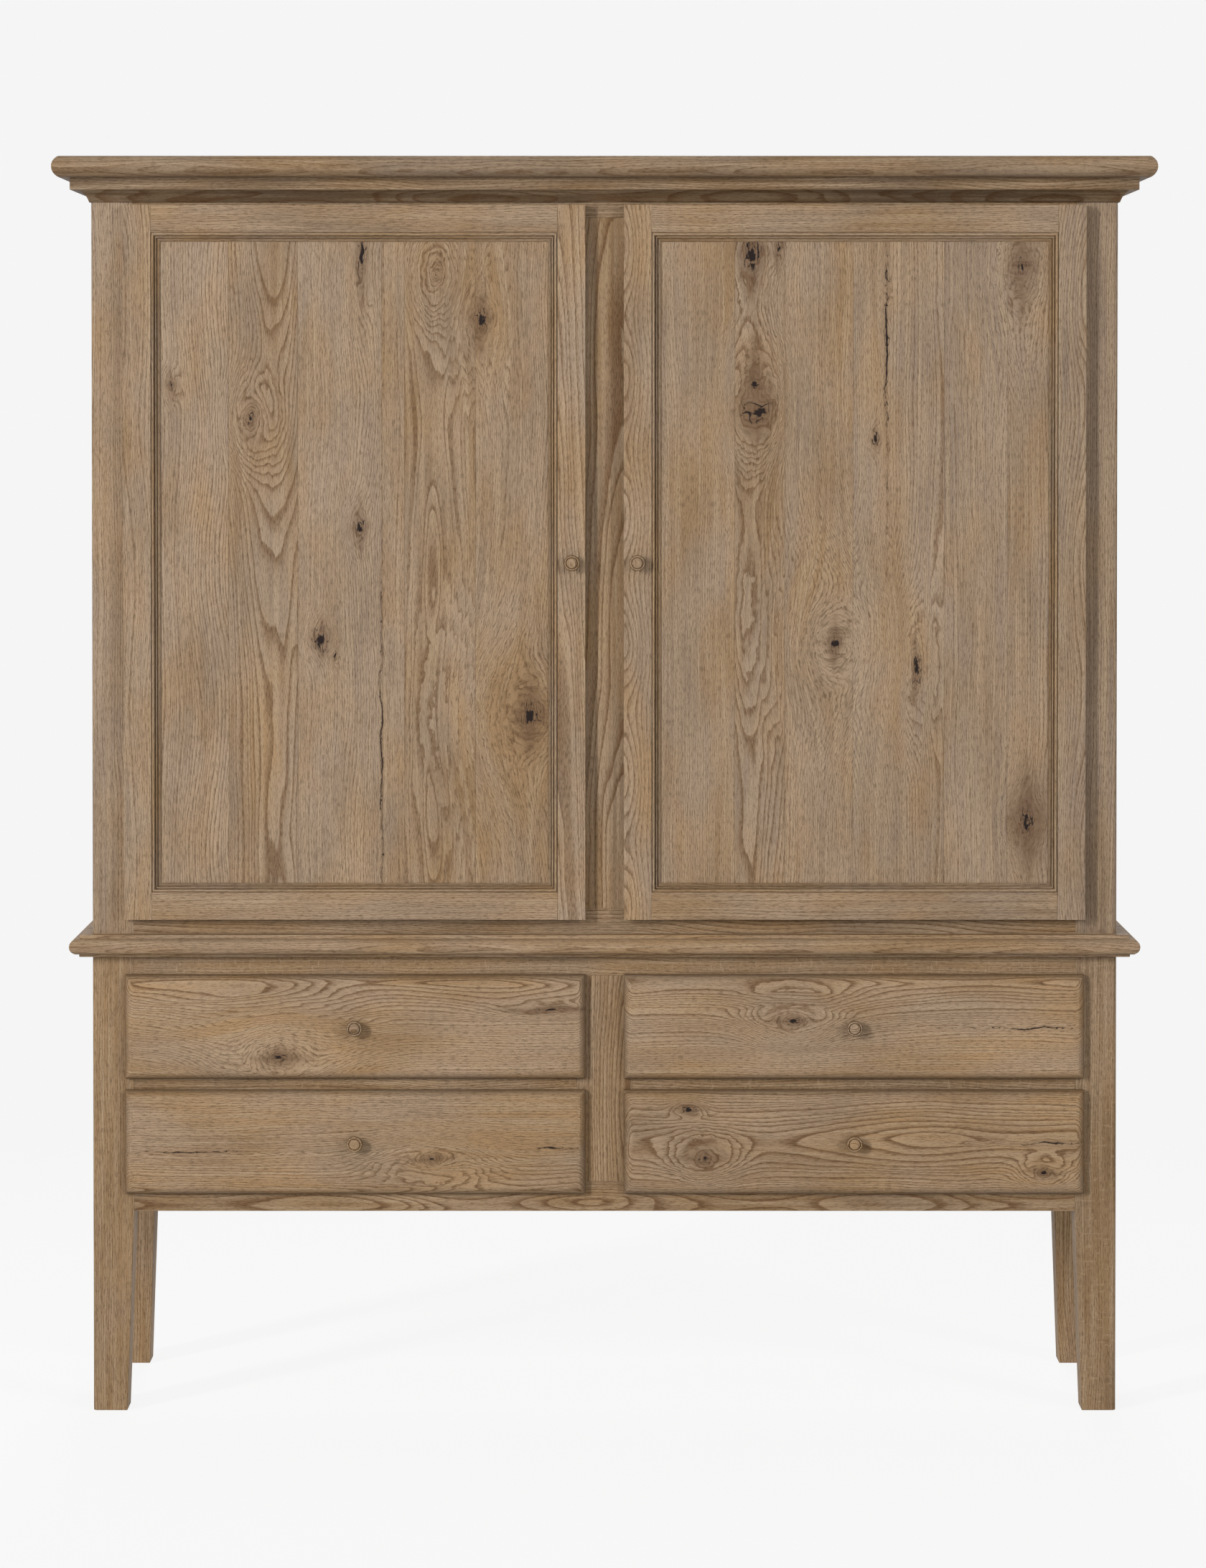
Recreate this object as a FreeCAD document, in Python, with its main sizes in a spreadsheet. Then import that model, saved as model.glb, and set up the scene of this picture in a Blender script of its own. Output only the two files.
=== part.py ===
"""Two-door armoire on a four-drawer base with legs.

Frame: +X to the right, +Y to the back, +Z up, millimetres.  The origin is on
the floor, under the middle of the whole piece, cornice included.
"""

import FreeCAD
import Part
import math
import os
import re
import Sketcher

SIZES = {
    # Carcass, measured over the posts
    "body_width": 1870,
    "post_width": 75,               # front of a leg or a cabinet post
    "leg_depth": 75,
    "cabinet_post_depth": 60,
    "post_round": 8,                # outer front arris of legs and posts
    "foot_width": 62,
    "foot_depth": 62,
    "rail_thickness": 28,           # front to back, face frames
    "tenon_thickness": 10,
    "tenon_length": 30,
    "tenon_shoulder": 5,
    # Base, from the floor up
    "leg_clearance": 366,
    "bottom_rail": 54,
    "drawer_opening": 167,
    "middle_rail": 44,
    "base_top_rail": 36,
    "centre_stile": 100,
    # Waist moulding between base and cabinet
    "waist_thickness": 40,
    "waist_overhang": 39,
    "waist_foot_height": 5,
    "waist_foot_out": 22,
    "waist_lip_height": 6.5,
    "waist_lip_out": 21,
    # Cabinet
    "cabinet_height": 1378,
    "cabinet_bottom_rail": 46,
    "cabinet_top_rail": 71,
    "mullion_width": 100,
    # Cornice
    "cap_thickness": 38,
    "cap_overhang": 65,
    "cap_nose": 11.5,               # how far the rounded edge stands out
    "fillet_height": 22,
    "fillet_out": 34.5,
    "cove_height": 21.5,
    "cove_foot": 3,
    "cove_out": 18,
    "cove_radius": 39,
    # Sides, back and boards
    "side_inset": 6,                # side boards, behind the post's outer face
    "side_thickness": 22,
    "side_rail_thickness": 28,
    "side_top_rail": 170,
    "side_bottom_rail": 75,
    "side_panel": 14,
    "side_panel_inset": 8,          # panel, behind the side rail's outer face
    "groove_depth": 10,
    "back_thickness": 12,
    "back_rebate": 10,
    "board": 22,                    # floor, ceiling, partitions and shelves
    # Doors
    "door_overlay": 15,
    "door_overlay_top": 22,
    "door_overlay_bottom": 18,
    "door_gap": 70,                 # between the two doors
    "door_clearance": 2.5,
    "door_thickness": 22,
    "door_stile": 50.5,
    "door_rail": 50,
    "door_back_round": 4,
    "panel_recess": 9,
    "panel_thickness": 9,
    "panel_groove": 8,
    "bead_width": 16.5,
    "bead_quirk": 1.5,
    "bead_big": 4,
    "bead_step": 2,
    "bead_small": 2.6,
    "bead_roundness": 0.55,         # a bead's radius over its width
    "bead_clearance": 0.5,          # big bead's shoulder below the frame's face
    "bead_quirk_height": 6.3,       # heights are off the panel
    "bead_small_height": 4.5,
    "bead_groove_height": 3.5,
    "bead_fillet_height": 2.25,
    "bead_valley_height": 1.3,
    # Concealed hinges
    "hinge_end_distance": 115,      # from the door's end to the hinge
    "cup_diameter": 35,
    "cup_edge": 4,                  # cup bore to the door's outer edge
    "cup_depth": 15.6,
    "cup_wall": 1.2,
    "cup_plate_thickness": 1.2,
    "cup_plate_width": 14,
    "cup_plate_height": 60,
    "pivot_edge": 9.5,              # pin to the door's outer edge
    "pivot_depth": 11,              # pin to the door's back face
    "pin_diameter": 3,
    "pin_length": 22,
    "knuckle_diameter": 5.4,
    "knuckle_play": 0.3,
    "arm_reach": 15,                # pin to the arm's leg
    "arm_thickness": 2.6,
    "arm_height": 12,
    "arm_end": 38,                  # behind the front plane
    "elbow": 1.5,                   # chamfer outside the arm's bend
    "plate_height": 34,
    "plate_start": 8,
    # Knobs
    "knob_diameter": 29.3,
    "knob_neck_diameter": 18,
    "knob_neck": 13,
    "knob_rim_width": 7,
    "knob_button_diameter": 21,
    "knob_projection": 24,
    "knob_inset": 24.5,             # door knobs, from the free edge
    # Drawers
    "drawer_overlay": 15,
    "drawer_overlay_top": 2.5,
    "drawer_overlay_bottom": 21,
    "drawer_clearance": 1,
    "drawer_front": 22,
    "ovolo_width": 19,
    "ovolo_depth": 14,
    "box_height": 140,
    "box_depth": 430,               # sets the depth of the whole carcass
    "box_rear_gap": 49,             # behind a closed drawer's box
    "box_side": 15,
    "box_bottom": 8,
    "box_bottom_inset": 10,
    "box_groove": 7,
    "box_side_play": 2,
    "box_lift": 0.3,
    "runner_thickness": 20,
    "runner_ledge": 22,             # what shows past the post's inner face
    "guide_height": 30,
    # Inside the cabinet
    "shelf_setback": 45,
    "shelf_play": 1,
    "cleat_thickness": 18,          # battens that the shelves lie on
    "cleat_height": 30,
    "hanging_rail_diameter": 25,
    "hanging_rail_drop": 55,
    "socket_diameter": 44,
    "socket_thickness": 12,
    "socket_depth": 9,
}

# Planes and points that several pieces share, in terms of the sizes
PLACES = {
    "half": "body_width / 2",
    "body_depth": "box_depth + box_rear_gap + back_thickness - drawer_clearance",
    "inner": "half - post_width",
    "front": "(cap_overhang - body_depth) / 2",
    "back": "(cap_overhang + body_depth) / 2",
    "frame_back": "front + rail_thickness",
    "back_board": "back - back_thickness",
    "z_lower": "leg_clearance + bottom_rail",
    "z_middle": "z_lower + drawer_opening",
    "z_upper": "z_middle + middle_rail",
    "z_base_rail": "z_upper + drawer_opening",
    "z_waist": "z_base_rail + base_top_rail",
    "z_cabinet": "z_waist + waist_thickness",
    "z_floor": "z_cabinet + cabinet_bottom_rail",
    "z_cap": "z_cabinet + cabinet_height",
    "z_ceiling": "z_cap - cabinet_top_rail",
    "side_inner": "half - side_inset - side_rail_thickness",
    "door_left": "-inner - door_overlay",
    "door_right": "-door_gap / 2",
    "door_bottom": "z_floor - door_overlay_bottom",
    "door_top": "z_ceiling + door_overlay_top",
    "door_back": "front - door_clearance",
    "door_front": "door_back - door_thickness",
    "panel_front": "door_front + panel_recess",
    "panel_back": "panel_front + panel_thickness",
    "cup_x": "door_left + cup_edge + cup_diameter / 2",
    "pivot_x": "door_left + pivot_edge",
    "pivot_y": "door_back - pivot_depth",
    "arm_x": "pivot_x + arm_reach",
    "drawer_left": "-inner - drawer_overlay",
    "drawer_right": "-centre_stile / 2 + drawer_overlay",
    "drawer_back": "front - drawer_clearance",
    "drawer_face": "drawer_back - drawer_front",
    "ovolo_radius": "(ovolo_width ^ 2 + ovolo_depth ^ 2) / (2 * ovolo_depth)",
    "ovolo_start": "drawer_back - drawer_front + ovolo_depth",
    "cap_arc": "(cap_nose ^ 2 + (cap_thickness / 2) ^ 2) / (2 * cap_nose)",
    "torus_radius": "(waist_thickness - waist_foot_height - waist_lip_height) / 2",
    "hanging_z": "z_ceiling - hanging_rail_drop",
    "hanging_y": "(frame_back + back_board) / 2",
}

doc = FreeCAD.newDocument("Armoire")
sheet = doc.addObject("Spreadsheet::Sheet", "Sizes")
nodes = {}


def write_sheet():
    """Put every driving size in the spreadsheet under its own alias."""
    for row, (name, size) in enumerate(SIZES.items(), 1):
        sheet.set(f"A{row}", name)
        sheet.set(f"B{row}", str(size))
        sheet.setAlias(f"B{row}", name)
    doc.recompute()


def expand(text):
    """Turn the names of sizes and places in an expression into sheet references."""
    def look_up(match):
        word = match.group()
        if word in SIZES:
            return "Sizes." + word
        if word in PLACES:
            return "(" + expand(PLACES[word]) + ")"
        return word
    return re.sub(r"[A-Za-z_]\w*", look_up, str(text))


def value(text):
    """The number that an expression gives now."""
    return float(sheet.evalExpression(expand(text)))


def bind(made, **sizes):
    """Bind properties of an object to expressions; an underscore stands for a dot."""
    for name, text in sizes.items():
        made.setExpression(name.replace("_", "."), expand(text))


# --- Solids -----------------------------------------------------------------

def box(name, x, y, z):
    """A plain board between two planes on each axis."""
    made = doc.addObject("Part::Box", name)
    for axis, side, (low, high) in zip("xyz", ("Length", "Width", "Height"), (x, y, z)):
        made.setExpression("Placement.Base." + axis, expand(low))
        made.setExpression(side, expand(f"({high}) - ({low})"))
    return made


def rod(name, along, x, y, z, diameter):
    """A cylinder along one axis: that axis is a (low, high) pair, the others are single."""
    made = doc.addObject("Part::Cylinder", name)
    place = {"x": x, "y": y, "z": z}
    low, high = place[along]
    place[along] = high if along == "y" else low
    turn = {"x": (FreeCAD.Vector(0, 1, 0), 90), "y": (FreeCAD.Vector(1, 0, 0), 90),
            "z": (FreeCAD.Vector(0, 0, 1), 0)}[along]
    made.Placement.Rotation = FreeCAD.Rotation(*turn)
    for axis in "xyz":
        made.setExpression("Placement.Base." + axis, expand(place[axis]))
    bind(made, Radius=f"({diameter}) / 2", Height=f"({high}) - ({low})")
    return made


def fuse(name, pieces):
    made = doc.addObject("Part::MultiFuse", name)
    made.Shapes = pieces
    made.Refine = True
    return made


def cut(name, base, tools):
    """Base less every tool."""
    made = doc.addObject("Part::Cut", name)
    made.Base = base
    made.Tool = tools[0] if len(tools) == 1 else fuse(name + "_tools", tools)
    return made


def common(name, one, other):
    made = doc.addObject("Part::Common", name)
    made.Base = one
    made.Tool = other
    return made


def group(name, pieces):
    """Several solids that make one node."""
    made = doc.addObject("Part::Compound", name)
    made.Links = pieces
    return made


def mirror(name, source, axis="x", at="0"):
    """The same piece beyond a plane across one axis."""
    made = doc.addObject("Part::Mirroring", name)
    made.Source = source
    made.Normal = FreeCAD.Vector(*(axis == each for each in "xyz"))
    made.setExpression("Base." + axis, expand(at))
    return made


def node(label, made):
    """Name a finished sub-part and keep it for export."""
    made.Label = label
    nodes[label] = made
    return made


def both_sides(stem, made):
    """A left-hand sub-part and its mirrored right-hand one."""
    node(stem.format("left"), made)
    return node(stem.format("right"), mirror(stem.format("right"), made))


# --- Sketches ---------------------------------------------------------------

def edge(start, end, bend):
    """A straight run, or the minor arc of the given radius, left-turning for ccw."""
    start, end = FreeCAD.Vector(*start), FreeCAD.Vector(*end)
    if not bend:
        return Part.LineSegment(start, end), (1, 2)
    turn, radius = bend[0], value(bend[1])
    chord = end - start
    side = FreeCAD.Vector(-chord.y, chord.x) / chord.Length * (1 if turn == "ccw" else -1)
    rise = math.sqrt(max(radius ** 2 - chord.Length ** 2 / 4, 0))
    centre = (start + end) / 2 + side * rise
    first, last = (start, end) if turn == "ccw" else (end, start)
    angles = [math.atan2(p.y - centre.y, p.x - centre.x) for p in (first, last)]
    circle = Part.Circle(centre, FreeCAD.Vector(0, 0, 1), radius)
    return Part.ArcOfCircle(circle, *angles), (1, 2) if turn == "ccw" else (2, 1)


def outline(sketch, points):
    """A closed outline through (x, y) points.

    A point that is reached by an arc is (x, y, turn, radius), turn cw or ccw.
    """
    spots = [(value(point[0]), value(point[1])) for point in points]
    ends = []
    for index, point in enumerate(points):
        piece, order = edge(spots[index - 1], spots[index], point[2:])
        ends.append((sketch.addGeometry(piece), *order))
    constraints = []
    for index, point in enumerate(points):
        segment, first, last = ends[index]
        following, start, _ = ends[(index + 1) % len(points)]
        rules = [(("DistanceX", -1, 1, segment, last, spots[index][0]), point[0]),
                 (("DistanceY", -1, 1, segment, last, spots[index][1]), point[1])]
        if point[2:]:
            rules.append((("Radius", segment, value(point[3])), point[3]))
        sketch.addConstraint(Sketcher.Constraint("Coincident", segment, last, following, start))
        constraints += rules
    for number, (rule, text) in enumerate(constraints):
        index = sketch.addConstraint(Sketcher.Constraint(*rule))
        sketch.renameConstraint(index, f"size{number}")
        sketch.setExpression(f"Constraints.size{number}", expand(text))


def sketch_on(body, plane):
    """A new sketch on one of the body's own origin planes."""
    sketch = body.newObject("Sketcher::SketchObject", body.Name + "_outline")
    support = next(f for f in body.Origin.OriginFeatures if f.Role == plane + "_Plane")
    sketch.AttachmentSupport = [(support, "")]
    sketch.MapMode = "FlatFace"
    return sketch


def prism(name, plane, points, low, high):
    """A body whose outline on a plane is padded across it, from low to high."""
    body = doc.addObject("PartDesign::Body", name)
    sketch = sketch_on(body, plane)
    outline(sketch, points)
    pad = body.newObject("PartDesign::Pad", name + "_pad")
    pad.Profile = sketch
    pad.Reversed = plane == "XZ"
    bind(pad, Length=f"({high}) - ({low})")
    axis = {"XY": "z", "XZ": "y", "YZ": "x"}[plane]
    body.setExpression("Placement.Base." + axis, expand(low))
    return body


# --- Joinery ----------------------------------------------------------------

def tenoned(name, x, y, z, along, ends="both"):
    """A rail or stile with tenons on its ends; returns it and its tenons, low end first."""
    spans = {"x": x, "y": y, "z": z}
    thick = "x" if along == "y" else "y"
    wide = next(axis for axis in "xyz" if axis not in (along, thick))
    tenon = dict(spans)
    middle = f"({spans[thick][0]} + {spans[thick][1]}) / 2"
    tenon[thick] = (f"{middle} - tenon_thickness / 2", f"{middle} + tenon_thickness / 2")
    tenon[wide] = (f"{spans[wide][0]} + tenon_shoulder", f"{spans[wide][1]} - tenon_shoulder")
    low, high = spans[along]
    tenons = []
    for end, span in (("low", (f"{low} - tenon_length", low)), ("high", (high, f"{high} + tenon_length"))):
        if ends in ("both", end):
            tenon[along] = span
            tenons.append(box(f"{name}_tenon", tenon["x"], tenon["y"], tenon["z"]))
    return fuse(name, [box(name + "_board", x, y, z)] + tenons), tenons


def run_up(profile, face, z):
    """A moulding's profile up an edge that faces the positive side of an axis.

    The profile's points are (out, up) from the face and z, bottom first; the
    turn of an arc is that of an outline that keeps the wood on its left.
    """
    return [(f"{face} + {out}", f"{z} + {rise}", *bend) for out, rise, *bend in profile]


def run_down(profile, face, z):
    """The same profile down an edge that faces the negative side of the axis."""
    bends = [bend for _, _, *bend in profile[1:]] + [[]]
    points = [(f"{face} - ({out})", f"{z} + {rise}", *bend)
              for (out, rise, *_), bend in zip(profile, bends)]
    return points[::-1]


def moulded_board(name, profile, z, overhang):
    """A board moulded along its front and both sides, square at the back."""
    ends = [("back", f"{z} + {profile[0][1]}"), ("back", f"{z} + {profile[-1][1]}")]
    across = prism(name + "_front", "YZ", ends + run_down(profile, "front", z),
                   f"-half - {overhang}", f"half + {overhang}")
    along = prism(name + "_sides", "XZ", run_up(profile, "half", z) + run_down(profile, "-half", z),
                  f"front - {overhang}", "back")
    return common(name, across, along)


# --- Base -------------------------------------------------------------------

FRAME_Y = ("front", "frame_back")
SIDE_BOARD_X = ("-half + side_inset", "-half + side_inset + side_thickness")
BACK_X = ("-inner - back_rebate", "inner + back_rebate")
BACK_Y = ("back_board", "back")
DEPTH_MIDDLE = "(front + back) / 2"


def post_blank(name, depth, z):
    """A front post of the left side, its outer front arris rounded."""
    points = [("-half + post_round", "front", "ccw", "post_round"), ("-inner", "front"),
              ("-inner", f"front + {depth}"), ("-half", f"front + {depth}"),
              ("-half", "front + post_round")]
    return prism(name, "XY", points, *z)


def leg_blank():
    """A leg, straight beside the drawers and tapered on its inner faces below them."""
    leg = post_blank("leg_post", "leg_depth", ("0", "z_waist"))
    across = prism("leg_taper_across", "XZ",
                   [("-half + foot_width", "0"), ("-inner", "0"), ("-inner", "leg_clearance")],
                   "front", "front + leg_depth")
    along = prism("leg_taper_along", "YZ",
                  [("front + foot_depth", "0"), ("front + leg_depth", "0"),
                   ("front + leg_depth", "leg_clearance")],
                  "-half", "-inner")
    return cut("leg_blank", leg, [across, along])


def build_base():
    top, top_tenons = tenoned("top_rail", ("-inner", "inner"), FRAME_Y, ("z_base_rail", "z_waist"), "x")
    bottom, bottom_tenons = tenoned("bottom_rail", ("-inner", "inner"), FRAME_Y,
                                    ("leg_clearance", "z_lower"), "x")
    middle, middle_tenons = tenoned("middle_rail", ("-inner", "-centre_stile / 2"), FRAME_Y,
                                    ("z_middle", "z_upper"), "x")
    stile, stile_tenons = tenoned("drawer_stile", ("-centre_stile / 2", "centre_stile / 2"), FRAME_Y,
                                  ("z_lower", "z_base_rail"), "z")
    side, side_tenons = tenoned("side_board", SIDE_BOARD_X, ("front + leg_depth", "back - leg_depth"),
                                ("leg_clearance", "z_waist"), "y")
    rebate = box("base_rebate", ("-inner - back_rebate", "-inner"), BACK_Y, ("leg_clearance", "z_waist"))
    blank = leg_blank()
    front_mortises = [top_tenons[0], bottom_tenons[0], middle_tenons[0], side_tenons[0]]
    both_sides("front_leg_{}", cut("front_leg", blank, front_mortises))
    rear = mirror("rear_leg_blank", blank, "y", DEPTH_MIDDLE)
    both_sides("rear_leg_{}", cut("rear_leg", rear, [side_tenons[1], rebate]))
    node("base_top_rail", cut("base_top_rail", top, [stile_tenons[1]]))
    node("base_bottom_rail", cut("base_bottom_rail", bottom, [stile_tenons[0]]))
    node("base_middle_rails", group("middle_rails", [middle, mirror("middle_rail_right", middle)]))
    middle_ends = [middle_tenons[1], mirror("middle_tenon_right", middle_tenons[1])]
    node("base_centre_stile", cut("centre_stile", stile, middle_ends))
    both_sides("base_side_{}", side)
    node("base_back", box("base_back", BACK_X, BACK_Y, ("leg_clearance", "z_waist")))
    node("base_partition", box("base_partition", ("-board / 2", "board / 2"),
                               ("frame_back", "back_board"), ("leg_clearance", "z_waist")))
    runners = [piece for level in ("z_lower", "z_upper") for piece in runner_pair(level)]
    runners += [mirror(piece.Name + "_right", piece) for piece in runners]
    node("drawer_runners", group("drawer_runners", runners))


def runner_pair(level):
    """The two runners under a left-hand drawer, their tops level with the rail's."""
    span = ("frame_back", "back_board")
    low = f"{level} - runner_thickness"
    guide = f"{level} + guide_height"
    between_legs = ("front + leg_depth", "back - leg_depth")
    ledge = box("outer_ledge", ("-inner", "-inner + runner_ledge"), span, (low, level))
    bearer = box("outer_guide", (SIDE_BOARD_X[1], "-inner"), between_legs, (low, guide))
    outer = fuse("outer_runner", [ledge, bearer])
    edge_x = "-centre_stile / 2"
    inner = prism("inner_runner", "XZ",
                  [(f"{edge_x} - runner_ledge", low), ("-board / 2", low), ("-board / 2", guide),
                   (edge_x, guide), (edge_x, level), (f"{edge_x} - runner_ledge", level)], *span)
    return [outer, inner]


def build_waist():
    middle = "waist_overhang - torus_radius"
    top = "waist_thickness - waist_lip_height"
    profile = [("waist_foot_out", "0"), ("waist_foot_out", "waist_foot_height"),
               (middle, "waist_foot_height"),
               ("waist_overhang", "waist_foot_height + torus_radius", "ccw", "torus_radius"),
               (middle, top, "ccw", "torus_radius"),
               ("waist_lip_out", top), ("waist_lip_out", "waist_thickness")]
    node("waist_top", moulded_board("waist", profile, "z_waist", "waist_overhang"))


# --- Cabinet ----------------------------------------------------------------

SHELVES = 3
SHELF_LEVELS = [f"z_floor + {count} * (z_ceiling - z_floor) / {SHELVES + 1}"
                for count in range(1, SHELVES + 1)]
SHELF_Y = ("front + shelf_setback", "back_board - shelf_play")


def build_cabinet_frame():
    full = ("z_cabinet", "z_cap")
    top, top_tenons = tenoned("cornice_rail", ("-inner", "inner"), FRAME_Y, ("z_ceiling", "z_cap"), "x")
    bottom, bottom_tenons = tenoned("plinth_rail", ("-inner", "inner"), FRAME_Y,
                                    ("z_cabinet", "z_floor"), "x")
    mullion, mullion_tenons = tenoned("mullion", ("-mullion_width / 2", "mullion_width / 2"), FRAME_Y,
                                      ("z_floor", "z_ceiling"), "z")
    rail_x = ("-half + side_inset", "-side_inner")
    rail_y = ("front + cabinet_post_depth", "back - cabinet_post_depth")
    side_top, side_top_tenons = tenoned("side_rail_top", rail_x, rail_y,
                                        ("z_cap - side_top_rail", "z_cap"), "y")
    side_low, side_low_tenons = tenoned("side_rail_low", rail_x, rail_y,
                                        ("z_cabinet", "z_cabinet + side_bottom_rail"), "y")
    panel_x = "-half + side_inset + side_panel_inset"
    panel = box("side_panel", (panel_x, f"{panel_x} + side_panel"),
                (f"{rail_y[0]} - groove_depth", f"{rail_y[1]} + groove_depth"),
                ("z_cabinet + side_bottom_rail - groove_depth", "z_cap - side_top_rail + groove_depth"))
    rebate = box("cabinet_rebate", ("-inner - back_rebate", "-inner"), BACK_Y, full)
    blank = post_blank("post_blank", "cabinet_post_depth", full)
    front_cuts = [top_tenons[0], bottom_tenons[0], side_top_tenons[0], side_low_tenons[0], panel]
    both_sides("cabinet_post_{}", cut("front_post", blank, front_cuts))
    rear = mirror("rear_post_blank", blank, "y", DEPTH_MIDDLE)
    rear = cut("rear_post", rear, [side_top_tenons[1], side_low_tenons[1], panel, rebate])
    node("cabinet_rear_posts", group("rear_posts", [rear, mirror("rear_post_right", rear)]))
    node("cabinet_top_rail", cut("cabinet_top_rail", top, [mullion_tenons[1]]))
    node("cabinet_bottom_rail", cut("cabinet_bottom_rail", bottom, [mullion_tenons[0]]))
    node("cabinet_mullion", mullion)
    side = [cut("side_frame_top", side_top, [panel]), cut("side_frame_low", side_low, [panel]), panel]
    both_sides("cabinet_side_{}", group("cabinet_side", side))
    node("cabinet_back", box("cabinet_back", BACK_X, BACK_Y, full))


def deck(name, z):
    """A board over the whole inside, notched round the four posts."""
    near = "front + cabinet_post_depth"
    far = "back - cabinet_post_depth"
    right = [("inner", "frame_back"), ("inner", near), ("side_inner", near), ("side_inner", far),
             ("inner", far), ("inner", "back_board")]
    left = [("-" + x, y) for x, y in right[::-1]]
    return node(name, prism(name, "XY", right + left, *z))


def build_cabinet_inside():
    deck("cabinet_floor", ("z_floor - board", "z_floor"))
    deck("cabinet_ceiling", ("z_ceiling", "z_ceiling + board"))
    node("cabinet_partition", box("cabinet_partition", ("-board / 2", "board / 2"),
                                  ("frame_back", "back_board"), ("z_floor", "z_ceiling")))
    cleats = []
    for count, level in enumerate(SHELF_LEVELS, 1):
        under = f"{level} - board"
        node(f"shelf_{count}", box("shelf", ("board / 2 + shelf_play / 2", "inner - shelf_play / 2"),
                                   SHELF_Y, (under, level)))
        cleats += [box("cleat", span, SHELF_Y, (f"{under} - cleat_height", under))
                   for span in (("board / 2", "board / 2 + cleat_thickness"),
                                ("inner - cleat_thickness", "inner"))]
    node("shelf_cleats", group("shelf_cleats", cleats))
    ends = ("-side_inner", "-board / 2")
    seat = "(socket_thickness - socket_depth)"
    rail = rod("rail", "x", (f"{ends[0]} + {seat}", f"{ends[1]} - {seat}"), "hanging_y", "hanging_z",
               "hanging_rail_diameter")
    node("hanging_rail", rail)
    sockets = [rod("socket_blank", "x", span, "hanging_y", "hanging_z", "socket_diameter")
               for span in ((ends[0], f"{ends[0]} + socket_thickness"),
                            (f"{ends[1]} - socket_thickness", ends[1]))]
    node("rail_sockets", group("sockets", [cut("socket", blank, [rail]) for blank in sockets]))


def build_cornice():
    cap_edge = "cap_overhang - cap_nose"
    cap_profile = [(cap_edge, "0"), (cap_edge, "cap_thickness", "ccw", "cap_arc")]
    node("cornice_cap", moulded_board("cap", cap_profile, "z_cap", "cap_overhang"))
    height = "cove_height + fillet_height"
    profile = [("0", "0"), ("cove_foot", "0"), ("cove_out", "cove_height", "cw", "cove_radius"),
               ("fillet_out", "cove_height"), ("fillet_out", height), ("0", height)]
    z = "z_cap - cove_height - fillet_height"
    left, near = "-half - fillet_out", "front - fillet_out"
    front_run = prism("front_run", "YZ", run_down(profile, "front", z), left, "half + fillet_out")
    front_plan = prism("front_plan", "XY",
                       [(left, near), ("half + fillet_out", near), ("half", "front"), ("-half", "front")],
                       z, "z_cap")
    side_run = prism("side_run", "XZ", run_down(profile, "-half", z), near, "back")
    side_plan = prism("side_plan", "XY",
                      [(left, near), ("-half", "front"), ("-half", "back"), (left, "back")], z, "z_cap")
    side = common("cornice_side", side_run, side_plan)
    lengths = [common("cornice_front", front_run, front_plan), side, mirror("cornice_side_right", side)]
    node("cornice_moulding", group("cornice_moulding", lengths))


# --- Knobs ------------------------------------------------------------------

def knob(name, x, y, z):
    """A turned knob, screwed on from behind; it stands towards the front from y."""
    body = doc.addObject("PartDesign::Body", name)
    sketch = sketch_on(body, "YZ")
    neck, rim, button = ("knob_neck_diameter / 2", "knob_diameter / 2", "knob_button_diameter / 2")
    rim_end = "-knob_neck - knob_rim_width"
    outline(sketch, [("0", "0"), ("0", neck), ("-knob_neck", neck), ("-knob_neck", rim), (rim_end, rim),
                     (rim_end, button), ("-knob_projection", button), ("-knob_projection", "0")])
    turned = body.newObject("PartDesign::Revolution", name + "_turned")
    turned.Profile = sketch
    turned.ReferenceAxis = (sketch, ["H_Axis"])
    turned.Angle = 360
    for axis, text in zip("xyz", (x, y, z)):
        body.setExpression("Placement.Base." + axis, expand(text))
    return body


# --- Doors ------------------------------------------------------------------

DOOR_MIDDLE_X = "(door_left + door_right) / 2"
DOOR_MIDDLE_Z = "(door_bottom + door_top) / 2"
DOOR_KNOB = ("door_right - knob_inset", "door_front", DOOR_MIDDLE_Z)
OPENING_LEFT = "door_left + door_stile"
OPENING_BOTTOM = "door_bottom + door_rail"
HINGE_LEVELS = ["door_bottom + hinge_end_distance", DOOR_MIDDLE_Z, "door_top - hinge_end_distance"]


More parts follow.
